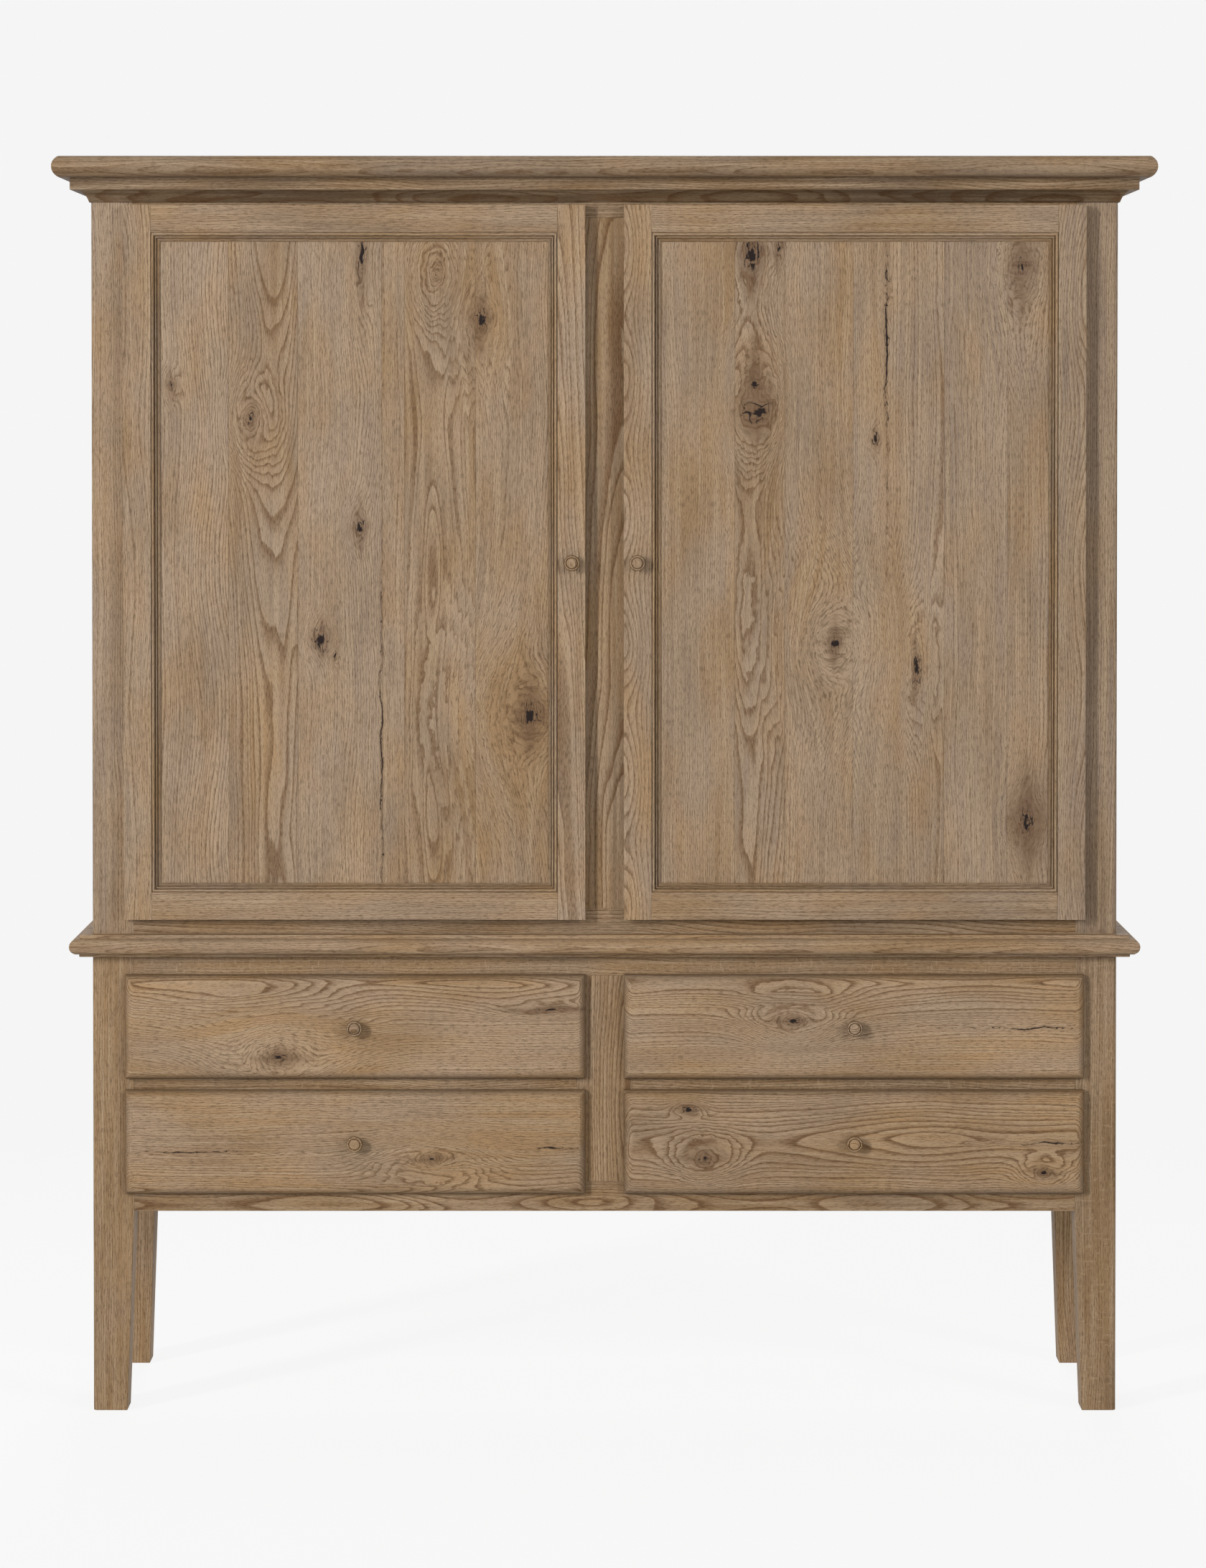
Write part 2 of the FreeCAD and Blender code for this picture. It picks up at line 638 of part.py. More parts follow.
def door_frame():
    """The left door's two stiles and two rails, grooved for the panel."""
    inner, groove = OPENING_LEFT, f"{OPENING_LEFT} - panel_groove"
    blank = prism("stile_blank", "XY",
                  [("door_left", "door_front"), (inner, "door_front"), (inner, "panel_front"),
                   (groove, "panel_front"), (groove, "panel_back"), (inner, "panel_back"),
                   (inner, "door_back"), ("door_left + door_back_round", "door_back"),
                   ("door_left", "door_back - door_back_round", "ccw", "door_back_round")],
                  "door_bottom", "door_top")
    top, slot = OPENING_BOTTOM, f"{OPENING_BOTTOM} - panel_groove"
    rail_x = (OPENING_LEFT, "door_right - door_stile")
    rail_board = prism("door_rail_board", "YZ",
                       [("door_front", "door_bottom"), ("door_back", "door_bottom"), ("door_back", top),
                        ("panel_back", top), ("panel_back", slot), ("panel_front", slot),
                        ("panel_front", top), ("door_front", top)], *rail_x)
    tenon_z = ("door_bottom + tenon_shoulder", slot)
    tenons = [box("door_tenon", span, ("panel_front", "panel_back"), tenon_z)
              for span in ((f"{rail_x[0]} - tenon_length", rail_x[0]),
                           (rail_x[1], f"{rail_x[1]} + tenon_length"))]
    rail = fuse("door_rail_low", [rail_board] + tenons)
    mortises = tenons + [mirror("door_tenon_top", tenon, "z", DOOR_MIDDLE_Z) for tenon in tenons]
    cups = [rod("cup_bore", "y", "cup_x", ("door_back - cup_depth", "door_back"), level, "cup_diameter")
            for level in HINGE_LEVELS]
    hinge_stile = cut("hinge_stile", blank, mortises[::2] + cups)
    lock_blank = mirror("lock_stile_blank", blank, "x", DOOR_MIDDLE_X)
    lock_stile = cut("lock_stile", lock_blank, mortises[1::2])
    both_sides("{}_door_stiles", group("door_stiles", [hinge_stile, lock_stile]))
    rails = [rail, mirror("door_rail_top", rail, "z", DOOR_MIDDLE_Z)]
    both_sides("{}_door_rails", group("door_rails", rails))


def bead_points(place, turn):
    """The panel moulding's section: a big bead, a small one and a fillet by the panel.

    place gives a point for the distance in from the frame and the height off the panel.
    """
    marks = ["0", "bead_quirk", "bead_big", "bead_step", "bead_small", "bead_step"]
    across = [" + ".join(marks[:count + 1]) for count in range(len(marks))]
    fillet, valley, ledge = "bead_fillet_height", "bead_valley_height", "bead_small_height"
    groove, quirk, crown = "bead_groove_height", "bead_quirk_height", "panel_recess - bead_clearance"
    section = [("0", "0"), ("bead_width", "0"), ("bead_width", fillet), (across[5], fillet),
               (across[5], valley), (across[4], valley), (across[4], ledge),
               (across[3], ledge, turn, "bead_small * bead_roundness"), (across[3], groove),
               (across[2], groove), (across[2], crown),
               (across[1], crown, turn, "bead_big * bead_roundness"), (across[1], quirk), ("0", quirk)]
    return [(*place(u, rise), *bend) for u, rise, *bend in section]


def door_beads():
    """Four mitred lengths round the panel."""
    right, top = "door_right - door_stile", "door_top - door_rail"
    left, low = OPENING_LEFT, OPENING_BOTTOM
    upright = prism("bead_upright", "XY",
                    bead_points(lambda u, rise: (f"{left} + {u}", f"panel_front - ({rise})"), "cw"), low, top)
    flat = prism("bead_flat", "YZ",
                 bead_points(lambda u, rise: (f"panel_front - ({rise})", f"{low} + {u}"), "ccw"), left, right)
    inside_left, inside_right = f"{left} + bead_width", f"{right} - bead_width"
    inside_low, inside_top = f"{low} + bead_width", f"{top} - bead_width"
    depth = ("door_front - bead_big", "panel_front")
    upright_plan = prism("upright_plan", "XZ",
                         [(left, low), (inside_left, inside_low), (inside_left, inside_top), (left, top)],
                         *depth)
    flat_plan = prism("flat_plan", "XZ",
                      [(left, low), (right, low), (inside_right, inside_low), (inside_left, inside_low)],
                      *depth)
    upright = common("bead_left", upright, upright_plan)
    flat = common("bead_low", flat, flat_plan)
    beads = [upright, mirror("bead_right", upright, "x", DOOR_MIDDLE_X),
             flat, mirror("bead_top", flat, "z", DOOR_MIDDLE_Z)]
    both_sides("{}_door_beads", group("door_beads", beads))


def hinge_cup(level):
    """A cup sunk in the stile, with its screw plate and the pin across it."""
    span = ("door_back - cup_depth", "door_back")
    shell = rod("cup_shell", "y", "cup_x", span, level, "cup_diameter")
    plate = box("cup_plate", ("cup_x - cup_plate_width / 2", "cup_x + cup_plate_width / 2"),
                ("door_back", "door_back + cup_plate_thickness"),
                (f"{level} - cup_plate_height / 2", f"{level} + cup_plate_height / 2"))
    hollow = rod("cup_hollow", "y", "cup_x",
                 ("door_back - cup_depth + cup_wall", "door_back + cup_plate_thickness"),
                 level, "cup_diameter - 2 * cup_wall")
    pin = rod("hinge_pin", "z", "pivot_x", "pivot_y",
              (f"{level} - pin_length / 2", f"{level} + pin_length / 2"), "pin_diameter")
    return fuse("cup_with_pin", [cut("cup", fuse("cup_body", [shell, plate]), [hollow]), pin])


def hinge_arm(level):
    """The cranked arm that reaches from the post into the cup, and its mounting plate."""
    height = (f"{level} - arm_height / 2", f"{level} + arm_height / 2")
    near, far = "pivot_y - arm_thickness / 2", "pivot_y + arm_thickness / 2"
    inside, outside = "arm_x - arm_thickness / 2", "arm_x + arm_thickness / 2"
    end = "front + arm_end"
    strip = prism("arm_strip", "XY",
                  [("pivot_x", near), (f"{outside} - elbow", near),
                   (outside, f"{near} + elbow"), (outside, end), (inside, end), (inside, far),
                   ("pivot_x", far)], *height)
    knuckle = rod("knuckle", "z", "pivot_x", "pivot_y", height, "knuckle_diameter")
    bore = rod("knuckle_bore", "z", "pivot_x", "pivot_y", height, "pin_diameter + 2 * knuckle_play")
    arm = cut("arm", fuse("arm_body", [strip, knuckle]), [bore])
    plate = box("mounting_plate", ("-inner", inside), ("front + plate_start", end),
                (f"{level} - plate_height / 2", f"{level} + plate_height / 2"))
    return [arm, plate]


def build_doors():
    door_frame()
    door_beads()
    panel = box("door_panel", (f"{OPENING_LEFT} - panel_groove", "door_right - door_stile + panel_groove"),
                ("panel_front", "panel_back"),
                (f"{OPENING_BOTTOM} - panel_groove", "door_top - door_rail + panel_groove"))
    both_sides("{}_door_panel", panel)
    both_sides("{}_door_knob", knob("door_knob", *DOOR_KNOB))
    both_sides("{}_door_hinge_cups", group("hinge_cups", [hinge_cup(level) for level in HINGE_LEVELS]))
    arms = [piece for level in HINGE_LEVELS for piece in hinge_arm(level)]
    both_sides("{}_hinge_arms", group("hinge_arms", arms))


# --- Drawers ----------------------------------------------------------------

def drawer_front(z0, z1):
    """A lipped front with an ovolo all round, mitred at the corners by two profiles."""
    upright = prism("front_section", "YZ",
                    [("drawer_back", z0), ("drawer_back", z1), ("ovolo_start", z1),
                     ("drawer_face", f"{z1} - ovolo_width", "ccw", "ovolo_radius"),
                     ("drawer_face", f"{z0} + ovolo_width"),
                     ("ovolo_start", z0, "ccw", "ovolo_radius")],
                    "drawer_left", "drawer_right")
    plan = prism("front_plan", "XY",
                 [("drawer_left", "drawer_back"), ("drawer_left", "ovolo_start"),
                  ("drawer_left + ovolo_width", "drawer_face", "ccw", "ovolo_radius"),
                  ("drawer_right - ovolo_width", "drawer_face"),
                  ("drawer_right", "ovolo_start", "ccw", "ovolo_radius"),
                  ("drawer_right", "drawer_back")], z0, z1)
    return common("drawer_front", upright, plan)


def drawer_box(opening):
    """Two sides, an inner front and a back, round a bottom in grooves."""
    left, right = "-inner + box_side_play", "-centre_stile / 2 - box_side_play"
    low = f"{opening} + box_lift"
    high = f"{low} + box_height"
    far = "drawer_back + box_depth"
    bottom_low = f"{low} + box_bottom_inset"
    between = (f"{left} + box_side", f"{right} - box_side")
    bottom = box("box_bottom", (f"{between[0]} - box_groove", f"{between[1]} + box_groove"),
                 ("drawer_back + box_side - box_groove", far),
                 (bottom_low, f"{bottom_low} + box_bottom"))
    walls = [box("box_left", (left, between[0]), ("drawer_back", far), (low, high)),
             box("box_right", (between[1], right), ("drawer_back", far), (low, high)),
             box("box_front", between, ("drawer_back", "drawer_back + box_side"), (low, high))]
    back = box("box_back", between, (f"{far} - box_side", far), (f"{bottom_low} + box_bottom", high))
    return group("drawer_box", [cut("box_wall", wall, [bottom]) for wall in walls] + [back, bottom])


def build_drawers():
    for name, opening in (("upper", "z_upper"), ("lower", "z_lower")):
        z0 = f"{opening} - drawer_overlay_bottom"
        z1 = f"{opening} + drawer_opening + drawer_overlay_top"
        place = ("(drawer_left + drawer_right) / 2", "drawer_face", f"({z0} + {z1}) / 2")
        stem = f"drawer_{name}_" + "{}_"
        both_sides(stem + "front", drawer_front(z0, z1))
        both_sides(stem + "box", drawer_box(opening))
        both_sides(stem + "knob", knob("drawer_knob", *place))


# --- Export -----------------------------------------------------------------

def export():
    doc.recompute()
    for made in doc.Objects:
        if {"Invalid", "Error"} & set(made.State):
            raise RuntimeError(f"{made.Name} did not build: {made.State}")
    os.makedirs("parts", exist_ok=True)
    for name, made in nodes.items():
        shape = made.Shape
        if shape.isNull() or not shape.isValid() or not shape.Solids:
            raise RuntimeError(f"{name} has no valid solid")
        shape.exportStep(f"parts/{name}.step")
        print(f"{name}: {len(shape.Solids)} solids, {shape.Volume / 1e6:.3f} litres")


write_sheet()
build_base()
build_waist()
build_cabinet_frame()
build_cabinet_inside()
build_cornice()
build_doors()
build_drawers()
export()
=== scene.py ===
"""A two-door armoire on a four-drawer base, in waxed grey-brown oak, in a pale studio."""

import math

import bmesh
import bpy
from mathutils import Euler, Matrix, Vector


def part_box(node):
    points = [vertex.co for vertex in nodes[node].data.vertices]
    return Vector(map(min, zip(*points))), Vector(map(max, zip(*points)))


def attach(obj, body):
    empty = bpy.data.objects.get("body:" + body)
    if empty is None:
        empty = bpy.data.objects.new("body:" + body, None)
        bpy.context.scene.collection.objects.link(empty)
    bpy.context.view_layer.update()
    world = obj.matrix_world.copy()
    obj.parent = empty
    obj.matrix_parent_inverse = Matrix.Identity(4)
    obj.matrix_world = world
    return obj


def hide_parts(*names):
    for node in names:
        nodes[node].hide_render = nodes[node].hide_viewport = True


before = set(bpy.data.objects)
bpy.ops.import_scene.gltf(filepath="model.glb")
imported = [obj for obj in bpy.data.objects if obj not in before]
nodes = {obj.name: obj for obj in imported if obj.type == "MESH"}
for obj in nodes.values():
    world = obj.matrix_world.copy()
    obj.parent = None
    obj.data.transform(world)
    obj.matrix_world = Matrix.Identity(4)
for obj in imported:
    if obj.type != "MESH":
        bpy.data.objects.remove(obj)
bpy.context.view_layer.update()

MM, PER_M = 0.001, 1000                    # a millimetre in metres, and how many make a metre
X, Y, Z = Vector((1, 0, 0)), Vector((0, 1, 0)), Vector((0, 0, 1))


# --- Colours and nodes ------------------------------------------------------

def colour(code):
    """The linear colour of an sRGB hex code."""
    parts = [int(code[at:at + 2], 16) / 255 for at in (1, 3, 5)]
    return [part / 12.92 if part <= 0.04045 else ((part + 0.055) / 1.055) ** 2.4
            for part in parts] + [1]


def add(tree, kind, inputs=(), **settings):
    """A node; inputs, by position or name, are values, sockets, or nodes for their first output."""
    made = tree.nodes.new(kind)
    for name, setting in settings.items():
        setattr(made, name, setting)
    for key, given in (inputs.items() if isinstance(inputs, dict) else enumerate(inputs)):
        source = given.outputs[0] if isinstance(given, bpy.types.Node) else given
        if isinstance(source, bpy.types.NodeSocket):
            tree.links.new(source, made.inputs[key])
        else:
            made.inputs[key].default_value = source
    return made


def new_group(name, takes, gives):
    """An empty node group, its input sockets, and the node that takes its results.

    Takes are the inputs with their defaults, gives the outputs with their kinds.
    """
    group = bpy.data.node_groups.new(name, "ShaderNodeTree")
    for label, default in takes.items():
        kind = {float: "Float", tuple: "Vector", list: "Color"}[type(default)]
        group.interface.new_socket(label, in_out="INPUT", socket_type="NodeSocket" + kind)
        group.interface.items_tree[label].default_value = default
    for label, kind in gives.items():
        group.interface.new_socket(label, in_out="OUTPUT", socket_type="NodeSocket" + kind)
    return group, add(group, "NodeGroupInput").outputs, add(group, "NodeGroupOutput")


def new_material(name):
    """A material with an empty node tree."""
    material = bpy.data.materials.new(name)
    material.use_nodes = True
    material.node_tree.nodes.clear()
    return material, material.node_tree


# --- Oak --------------------------------------------------------------------

BARE = "#A38562"           # the wood between the pores, under an old wax
GREY = "#9F8B77"           # boards and patches that have weathered to grey
PALE = "#B49D80"           # bleached streaks and ray flecks
LINE = "#68492C"           # the porous first wood of each ring
PORE = "#452F1A"           # open pores, full of dark wax
HALO = "#5F4632"           # dense wood round a knot
HEART = "#1F1613"          # the knot's own split
WAX_AND_SHADE = "#422E1B"            # dark waxing along glue lines, and painted shade in grooves, coves and under noses
INSIDE = "#B39C7E"         # unwaxed oak inside the carcass

PORE_DEPTH = 0.15          # mm
GLUE_LINE = 1.1            # mm to each side of a joint that the wax has darkened
FAR_FROM_GLUE = 9          # mm, a distance that no glue line reaches


def sawn_oak():
    """Sawn oak. Board is in mm: x across the board, y along the grain, z out of its face.

    The rings go round a pith that lies under the face. Where it climbs towards the face or
    away from it, the rings close in a cathedral; where it lies far to the side they run straight.
    Figure is the pith's place across, its depth and its lean. Tone, Grey, Ring, Wave, Crest and
    Period are as in board(). Lines is how dark the rings are; Swell, Halo and Split come from
    knots. Flecks, Wear and the last input, which darkens waxed glue lines and lays painted shade
    in grooves, coves and under noses, are shares from 0 to 1.
    """
    group, given, gives = new_group("sawn_oak", {
        "Board": (0.0, 0.0, 0.0), "Bare": [0.3, 0.3, 0.3, 1], "Tone": 1.0, "Grey": 0.3,
        "Figure": (0.0, 30.0, 0.03), "Wave": 0.0, "Crest": 0.0, "Period": 515.0, "Seed": 0.0,
        "Ring": 3.4, "Lines": 0.8, "Flecks": 0.0, "Swell": 0.0, "Halo": 0.0, "Split": 0.0,
        "Wear": 0.0, "WaxAndShade": 0.0,
    }, {"Colour": "Color", "Roughness": "Float", "Height": "Float"})
    sums, vector = "ShaderNodeMath", "ShaderNodeVectorMath"
    noise, span = "ShaderNodeTexNoise", "ShaderNodeMapRange"
    # Each seed is cut from another place in the tree
    apart = add(group, vector, {0: (370, 910, 530), "Scale": given["Seed"]}, operation="SCALE")
    place = add(group, vector, [given["Board"], apart], operation="ADD")
    across, along, out = add(group, "ShaderNodeSeparateXYZ", [given["Board"]]).outputs
    side, depth, lean = add(group, "ShaderNodeSeparateXYZ", [given["Figure"]]).outputs

    # Growth sways by some mm over half a metre of trunk
    slow = add(group, vector, [place, (1 / 70, 1 / 430, 1 / 70)], operation="MULTIPLY")
    slow = add(group, noise, {"Vector": slow, "Scale": 1, "Detail": 2})
    sway = add(group, "ShaderNodeSeparateXYZ", [slow.outputs["Color"]]).outputs
    arm = add(group, sums, [across, side], operation="SUBTRACT")
    arm = add(group, sums, [sway[0], 30, arm], operation="MULTIPLY_ADD")
    rise = add(group, sums, [along, lean, depth], operation="MULTIPLY_ADD")
    turn = add(group, sums, [along, given["Crest"]], operation="SUBTRACT")
    turn = add(group, sums, [turn, given["Period"]], operation="DIVIDE")
    turn = add(group, sums, [turn, 2 * math.pi], operation="MULTIPLY")
    turn = add(group, sums, [turn], operation="COSINE")
    turn = add(group, sums, [turn, given["Wave"]], operation="MULTIPLY")
    rise = add(group, sums, [rise, turn], operation="SUBTRACT")
    rise = add(group, sums, [sway[1], 14, rise], operation="MULTIPLY_ADD")
    rise = add(group, sums, [rise, out], operation="SUBTRACT")
    radius = add(group, "ShaderNodeCombineXYZ", [arm, rise])
    radius = add(group, vector, [radius], operation="LENGTH").outputs["Value"]
    flat = add(group, sums, [rise, radius], operation="DIVIDE")
    flat = add(group, span, [flat, 0.4, 1, 0.55, 1])

    # Small waves in every ring, then rings of uneven width
    small = add(group, vector, [place, (1 / 9, 1 / 60, 1 / 9)], operation="MULTIPLY")
    small = add(group, noise, {"Vector": small, "Scale": 1, "Detail": 4})
    radius = add(group, sums, [small, 1.25, radius], operation="MULTIPLY_ADD")
    years = add(group, sums, [radius, 0.06, given["Seed"]], operation="MULTIPLY_ADD")
    years = add(group, noise, {"W": years, "Scale": 1, "Detail": 1}, noise_dimensions="1D")
    rings = add(group, sums, [radius, given["Ring"]], operation="DIVIDE")
    rings = add(group, sums, [years, 3, rings], operation="MULTIPLY_ADD")
    rings = add(group, sums, [rings, given["Swell"]], operation="ADD")
    rings = add(group, sums, [rings], operation="FRACT")
    early = add(group, "ShaderNodeValToRGB", [rings])
    early.color_ramp.elements[0].color = (0.9, 0.9, 0.9, 1)
    early.color_ramp.elements[1].color = (0.9, 0.9, 0.9, 1)
    for where, level in ((0.06, 1), (0.17, 0.75), (0.34, 0.25), (0.6, 0.05), (0.95, 0)):
        early.color_ramp.elements.new(where).color = (level, level, level, 1)

    # Pores are 0.3 mm wide; at 1.4 mm, five times coarser, they show
    pores = add(group, vector, [place, (1 / 1.4, 1 / 12, 1 / 1.4)], operation="MULTIPLY")
    pores = add(group, noise, {"Vector": pores, "Scale": 1, "Detail": 2})
    pores = add(group, span, [pores, 0.5, 0.6])
    hair = add(group, vector, [place, (1 / 0.8, 1 / 3.5, 1 / 0.8)], operation="MULTIPLY")
    hair = add(group, noise, {"Vector": hair, "Scale": 1, "Detail": 2})
    hair = add(group, span, [hair, 0.48, 0.68, 0, 0.4])
    crowd = add(group, sums, [early, 0.45, 0.55], operation="MULTIPLY_ADD")
    pores = add(group, sums, [pores, crowd, hair], operation="MULTIPLY_ADD", use_clamp=True)

    # Bleached streaks 7 mm wide, and clouds of tone
    streaks = add(group, vector, [place, (1 / 7, 1 / 280, 1 / 7)], operation="MULTIPLY")
    streaks = add(group, noise, {"Vector": streaks, "Scale": 1, "Detail": 3})
    streaks = add(group, span, [streaks, 0.42, 0.72, 0, 0.7])
    clouds = add(group, vector, [place, (1 / 80, 1 / 240, 1 / 80)], operation="MULTIPLY")
    clouds = add(group, noise, {"Vector": clouds, "Scale": 1, "Detail": 2})
    weather = add(group, span, [clouds, 0.35, 0.62, -0.4, 0.4])
    weather = add(group, sums, [weather, given["Grey"]], operation="ADD", use_clamp=True)
    clouds = add(group, "ShaderNodeSeparateXYZ", [clouds.outputs["Color"]]).outputs[1]
    clouds = add(group, span, [clouds, 0.3, 0.7, 0.84, 1.14])
    clouds = add(group, sums, [clouds, given["Tone"]], operation="MULTIPLY")
    tinted = add(group, "ShaderNodeMix", {0: weather, 6: given["Bare"], 7: colour(GREY)},
                 data_type="RGBA").outputs[2]
    tinted = add(group, vector, {0: tinted, "Scale": clouds}, operation="SCALE")
    lines = add(group, sums, [early, flat], operation="MULTIPLY")

    # Rays lie across the grain as short ribbons where a board is cut on the quarter
    flecks = add(group, vector, [place, (1 / 16, 1 / 5, 1 / 16)], operation="MULTIPLY")
    flecks = add(group, noise, {"Vector": flecks, "Scale": 1, "Detail": 2, "Distortion": 0.6})
    flecks = add(group, span, [flecks, 0.6, 0.7])

    shade = tinted.outputs[0]
    # One share darkens waxed glue lines, and lays painted shade in grooves, coves and under noses
    for share, strength, tint in (
            (streaks, 1, PALE), (lines, given["Lines"], LINE), (pores, 0.52, PORE),
            (flecks, given["Flecks"], PALE), (given["Wear"], 0.5, PALE), (given["WaxAndShade"], 0.8, WAX_AND_SHADE),
            (given["Halo"], 0.7, HALO), (given["Split"], 1, HEART)):
        share = add(group, sums, [share, strength], operation="MULTIPLY", use_clamp=True)
        shade = add(group, "ShaderNodeMix", {0: share, 6: shade, 7: colour(tint)},
                    data_type="RGBA").outputs[2]
    rough = add(group, sums, [pores, 0.16, 0.52], operation="MULTIPLY_ADD")
    height = add(group, sums, [early, 0.35, pores], operation="MULTIPLY_ADD")
    height = add(group, sums, [given["Split"], 3, height], operation="MULTIPLY_ADD")
    height = add(group, sums, [height, -1], operation="MULTIPLY")
    for key, source in (("Colour", shade), ("Roughness", rough.outputs[0]),
                        ("Height", height.outputs[0])):
        group.links.new(source, gives.inputs[key])
    return group


def knot():
    """A knot, or with a long Reach a split: the grain parts round it.

    Place is (across, along) in mm, Size the knot's half width, Reach its length over its width.
    Core is the share of it that has rotted and split, Dark the strength of the dark wood round
    it; Sweep widens the stretch that parts. Swell, Halo and Split come from the knot before.
    """
    group, given, gives = new_group("oak_knot", {
        "Board": (0.0, 0.0, 0.0), "Place": (0.0, 0.0, 0.0), "Size": 10.0, "Reach": 1.5,
        "Core": 0.4, "Dark": 1.0, "Sweep": 1.0, "Swell": 0.0, "Halo": 0.0, "Split": 0.0,
    }, {"Board": "Vector", "Swell": "Float", "Halo": "Float", "Split": "Float"})
    sums, vector = "ShaderNodeMath", "ShaderNodeVectorMath"
    noise, span = "ShaderNodeTexNoise", "ShaderNodeMapRange"
    off = add(group, vector, [given["Board"], given["Place"]], operation="SUBTRACT")
    far = add(group, "ShaderNodeSeparateXYZ", [off]).outputs
    bends = add(group, vector, [given["Board"], (1 / 90, 1 / 55, 1 / 90)], operation="MULTIPLY")
    bends = add(group, noise, {"Vector": bends, "Scale": 1, "Detail": 1})
    aside = add(group, sums, [bends, 16, far[0]], operation="MULTIPLY_ADD")
    aside = add(group, sums, [aside, 8], operation="SUBTRACT")
    wide = add(group, sums, [aside, given["Size"]], operation="DIVIDE")
    long = add(group, sums, [given["Size"], given["Reach"]], operation="MULTIPLY")
    long = add(group, sums, [far[1], long], operation="DIVIDE")
    rough = add(group, vector, [given["Board"], (1 / 9, 1 / 22, 1 / 9)], operation="MULTIPLY")
    rough = add(group, noise, {"Vector": rough, "Scale": 1, "Detail": 2})
    rough = add(group, "ShaderNodeSeparateXYZ", [rough.outputs["Color"]]).outputs
    wide = add(group, sums, [rough[0], 0.9, wide], operation="MULTIPLY_ADD")
    wide = add(group, sums, [wide, 0.45], operation="SUBTRACT")
    long = add(group, sums, [rough[1], 0.6, long], operation="MULTIPLY_ADD")
    long = add(group, sums, [long, 0.3], operation="SUBTRACT")
    ring = add(group, "ShaderNodeCombineXYZ", [wide, long])
    ring = add(group, vector, [ring], operation="LENGTH").outputs["Value"]

    # The grain is drawn in towards the middle, so its lines swing out round the knot
    pull = add(group, sums, [ring, given["Sweep"]], operation="DIVIDE")
    pull = add(group, sums, [pull, pull], operation="MULTIPLY")
    pull = add(group, sums, [pull, -0.35], operation="MULTIPLY")
    pull = add(group, sums, [pull], operation="EXPONENT")
    drawn = add(group, sums, [pull, aside], operation="MULTIPLY")
    drawn = add(group, "ShaderNodeCombineXYZ", [drawn])
    drawn = add(group, vector, [given["Board"], drawn], operation="SUBTRACT")
    swell = add(group, sums, [ring, -4], operation="MULTIPLY")
    swell = add(group, sums, [swell, pull, given["Swell"]], operation="MULTIPLY_ADD")
    # Its dark wood runs out to a point up and down the grain
    spindle = add(group, "ShaderNodeCombineXYZ", [wide, long])
    spindle = add(group, vector, [spindle], operation="ABSOLUTE")
    spindle = add(group, vector, [spindle, (1, 0.6, 0)], operation="DOT_PRODUCT").outputs["Value"]
    halo = add(group, span, [spindle, 0.3, 2.3, 1, 0], interpolation_type="SMOOTHSTEP")
    halo = add(group, sums, [halo, given["Dark"]], operation="MULTIPLY")
    halo = add(group, sums, [halo, given["Halo"]], operation="MAXIMUM")

    # A rotten heart, and checks that run out of it
    ragged = add(group, vector, [given["Board"], (1 / 4, 1 / 9, 1 / 4)], operation="MULTIPLY")
    ragged = add(group, noise, {"Vector": ragged, "Scale": 1, "Detail": 1})
    check = add(group, vector, [given["Board"], (1 / 8, 1 / 36, 1 / 8)], operation="MULTIPLY")
    check = add(group, noise, {"Vector": check, "Scale": 1, "Detail": 1})
    check = add(group, sums, [check, 0.5], operation="SUBTRACT")
    check = add(group, sums, [check], operation="ABSOLUTE")
    check = add(group, span, [check, 0.006, 0.024, 1, 0])
    ragged = add(group, sums, [ragged, 0.5, ring], operation="MULTIPLY_ADD")
    ragged = add(group, sums, [ragged, 0.25], operation="SUBTRACT")
    ragged = add(group, sums, [ragged, given["Core"]], operation="DIVIDE")
    heart = add(group, span, [ragged, 0.45, 0.7, 1, 0], interpolation_type="SMOOTHSTEP")
    reach = add(group, span, [ragged, 1.2, 2, 1, 0])
    check = add(group, sums, [check, reach], operation="MULTIPLY")
    split = add(group, sums, [heart, check], operation="MAXIMUM")
    split = add(group, sums, [split, given["Split"]], operation="MAXIMUM")
    for key, source in (("Board", drawn), ("Swell", swell), ("Halo", halo), ("Split", split)):
        group.links.new(source.outputs[0], gives.inputs[key])
    return group


def worn_edge():
    """Rubbed arrises of a board. At is in mm from the board's middle, Half is its half size."""
    group, given, gives = new_group("worn_edge", {
        "At": (0.0, 0.0, 0.0), "Half": (100.0, 100.0, 10.0)}, {"Wear": "Float"})
    inward = add(group, "ShaderNodeVectorMath", [given["At"]], operation="ABSOLUTE")
    inward = add(group, "ShaderNodeVectorMath", [given["Half"], inward], operation="SUBTRACT")
    near = add(group, "ShaderNodeSeparateXYZ", [inward]).outputs
    low = add(group, "ShaderNodeMath", [near[0], near[1]], operation="MINIMUM")
    high = add(group, "ShaderNodeMath", [near[0], near[1]], operation="MAXIMUM")
    high = add(group, "ShaderNodeMath", [high, near[2]], operation="MINIMUM")
    second = add(group, "ShaderNodeMath", [low, high], operation="MAXIMUM")
    patch = add(group, "ShaderNodeTexNoise", {"Vector": given["At"], "Scale": 0.05, "Detail": 2})
    reach = add(group, "ShaderNodeMapRange", [patch, 0.35, 0.65, 0.8, 3])
    wear = add(group, "ShaderNodeMapRange", {0: second, 1: 0, 2: reach, 3: 1, 4: 0})
    group.links.new(wear.outputs[0], gives.inputs["Wear"])
    return group


SAWN_OAK, KNOT, WORN_EDGE = sawn_oak(), knot(), worn_edge()


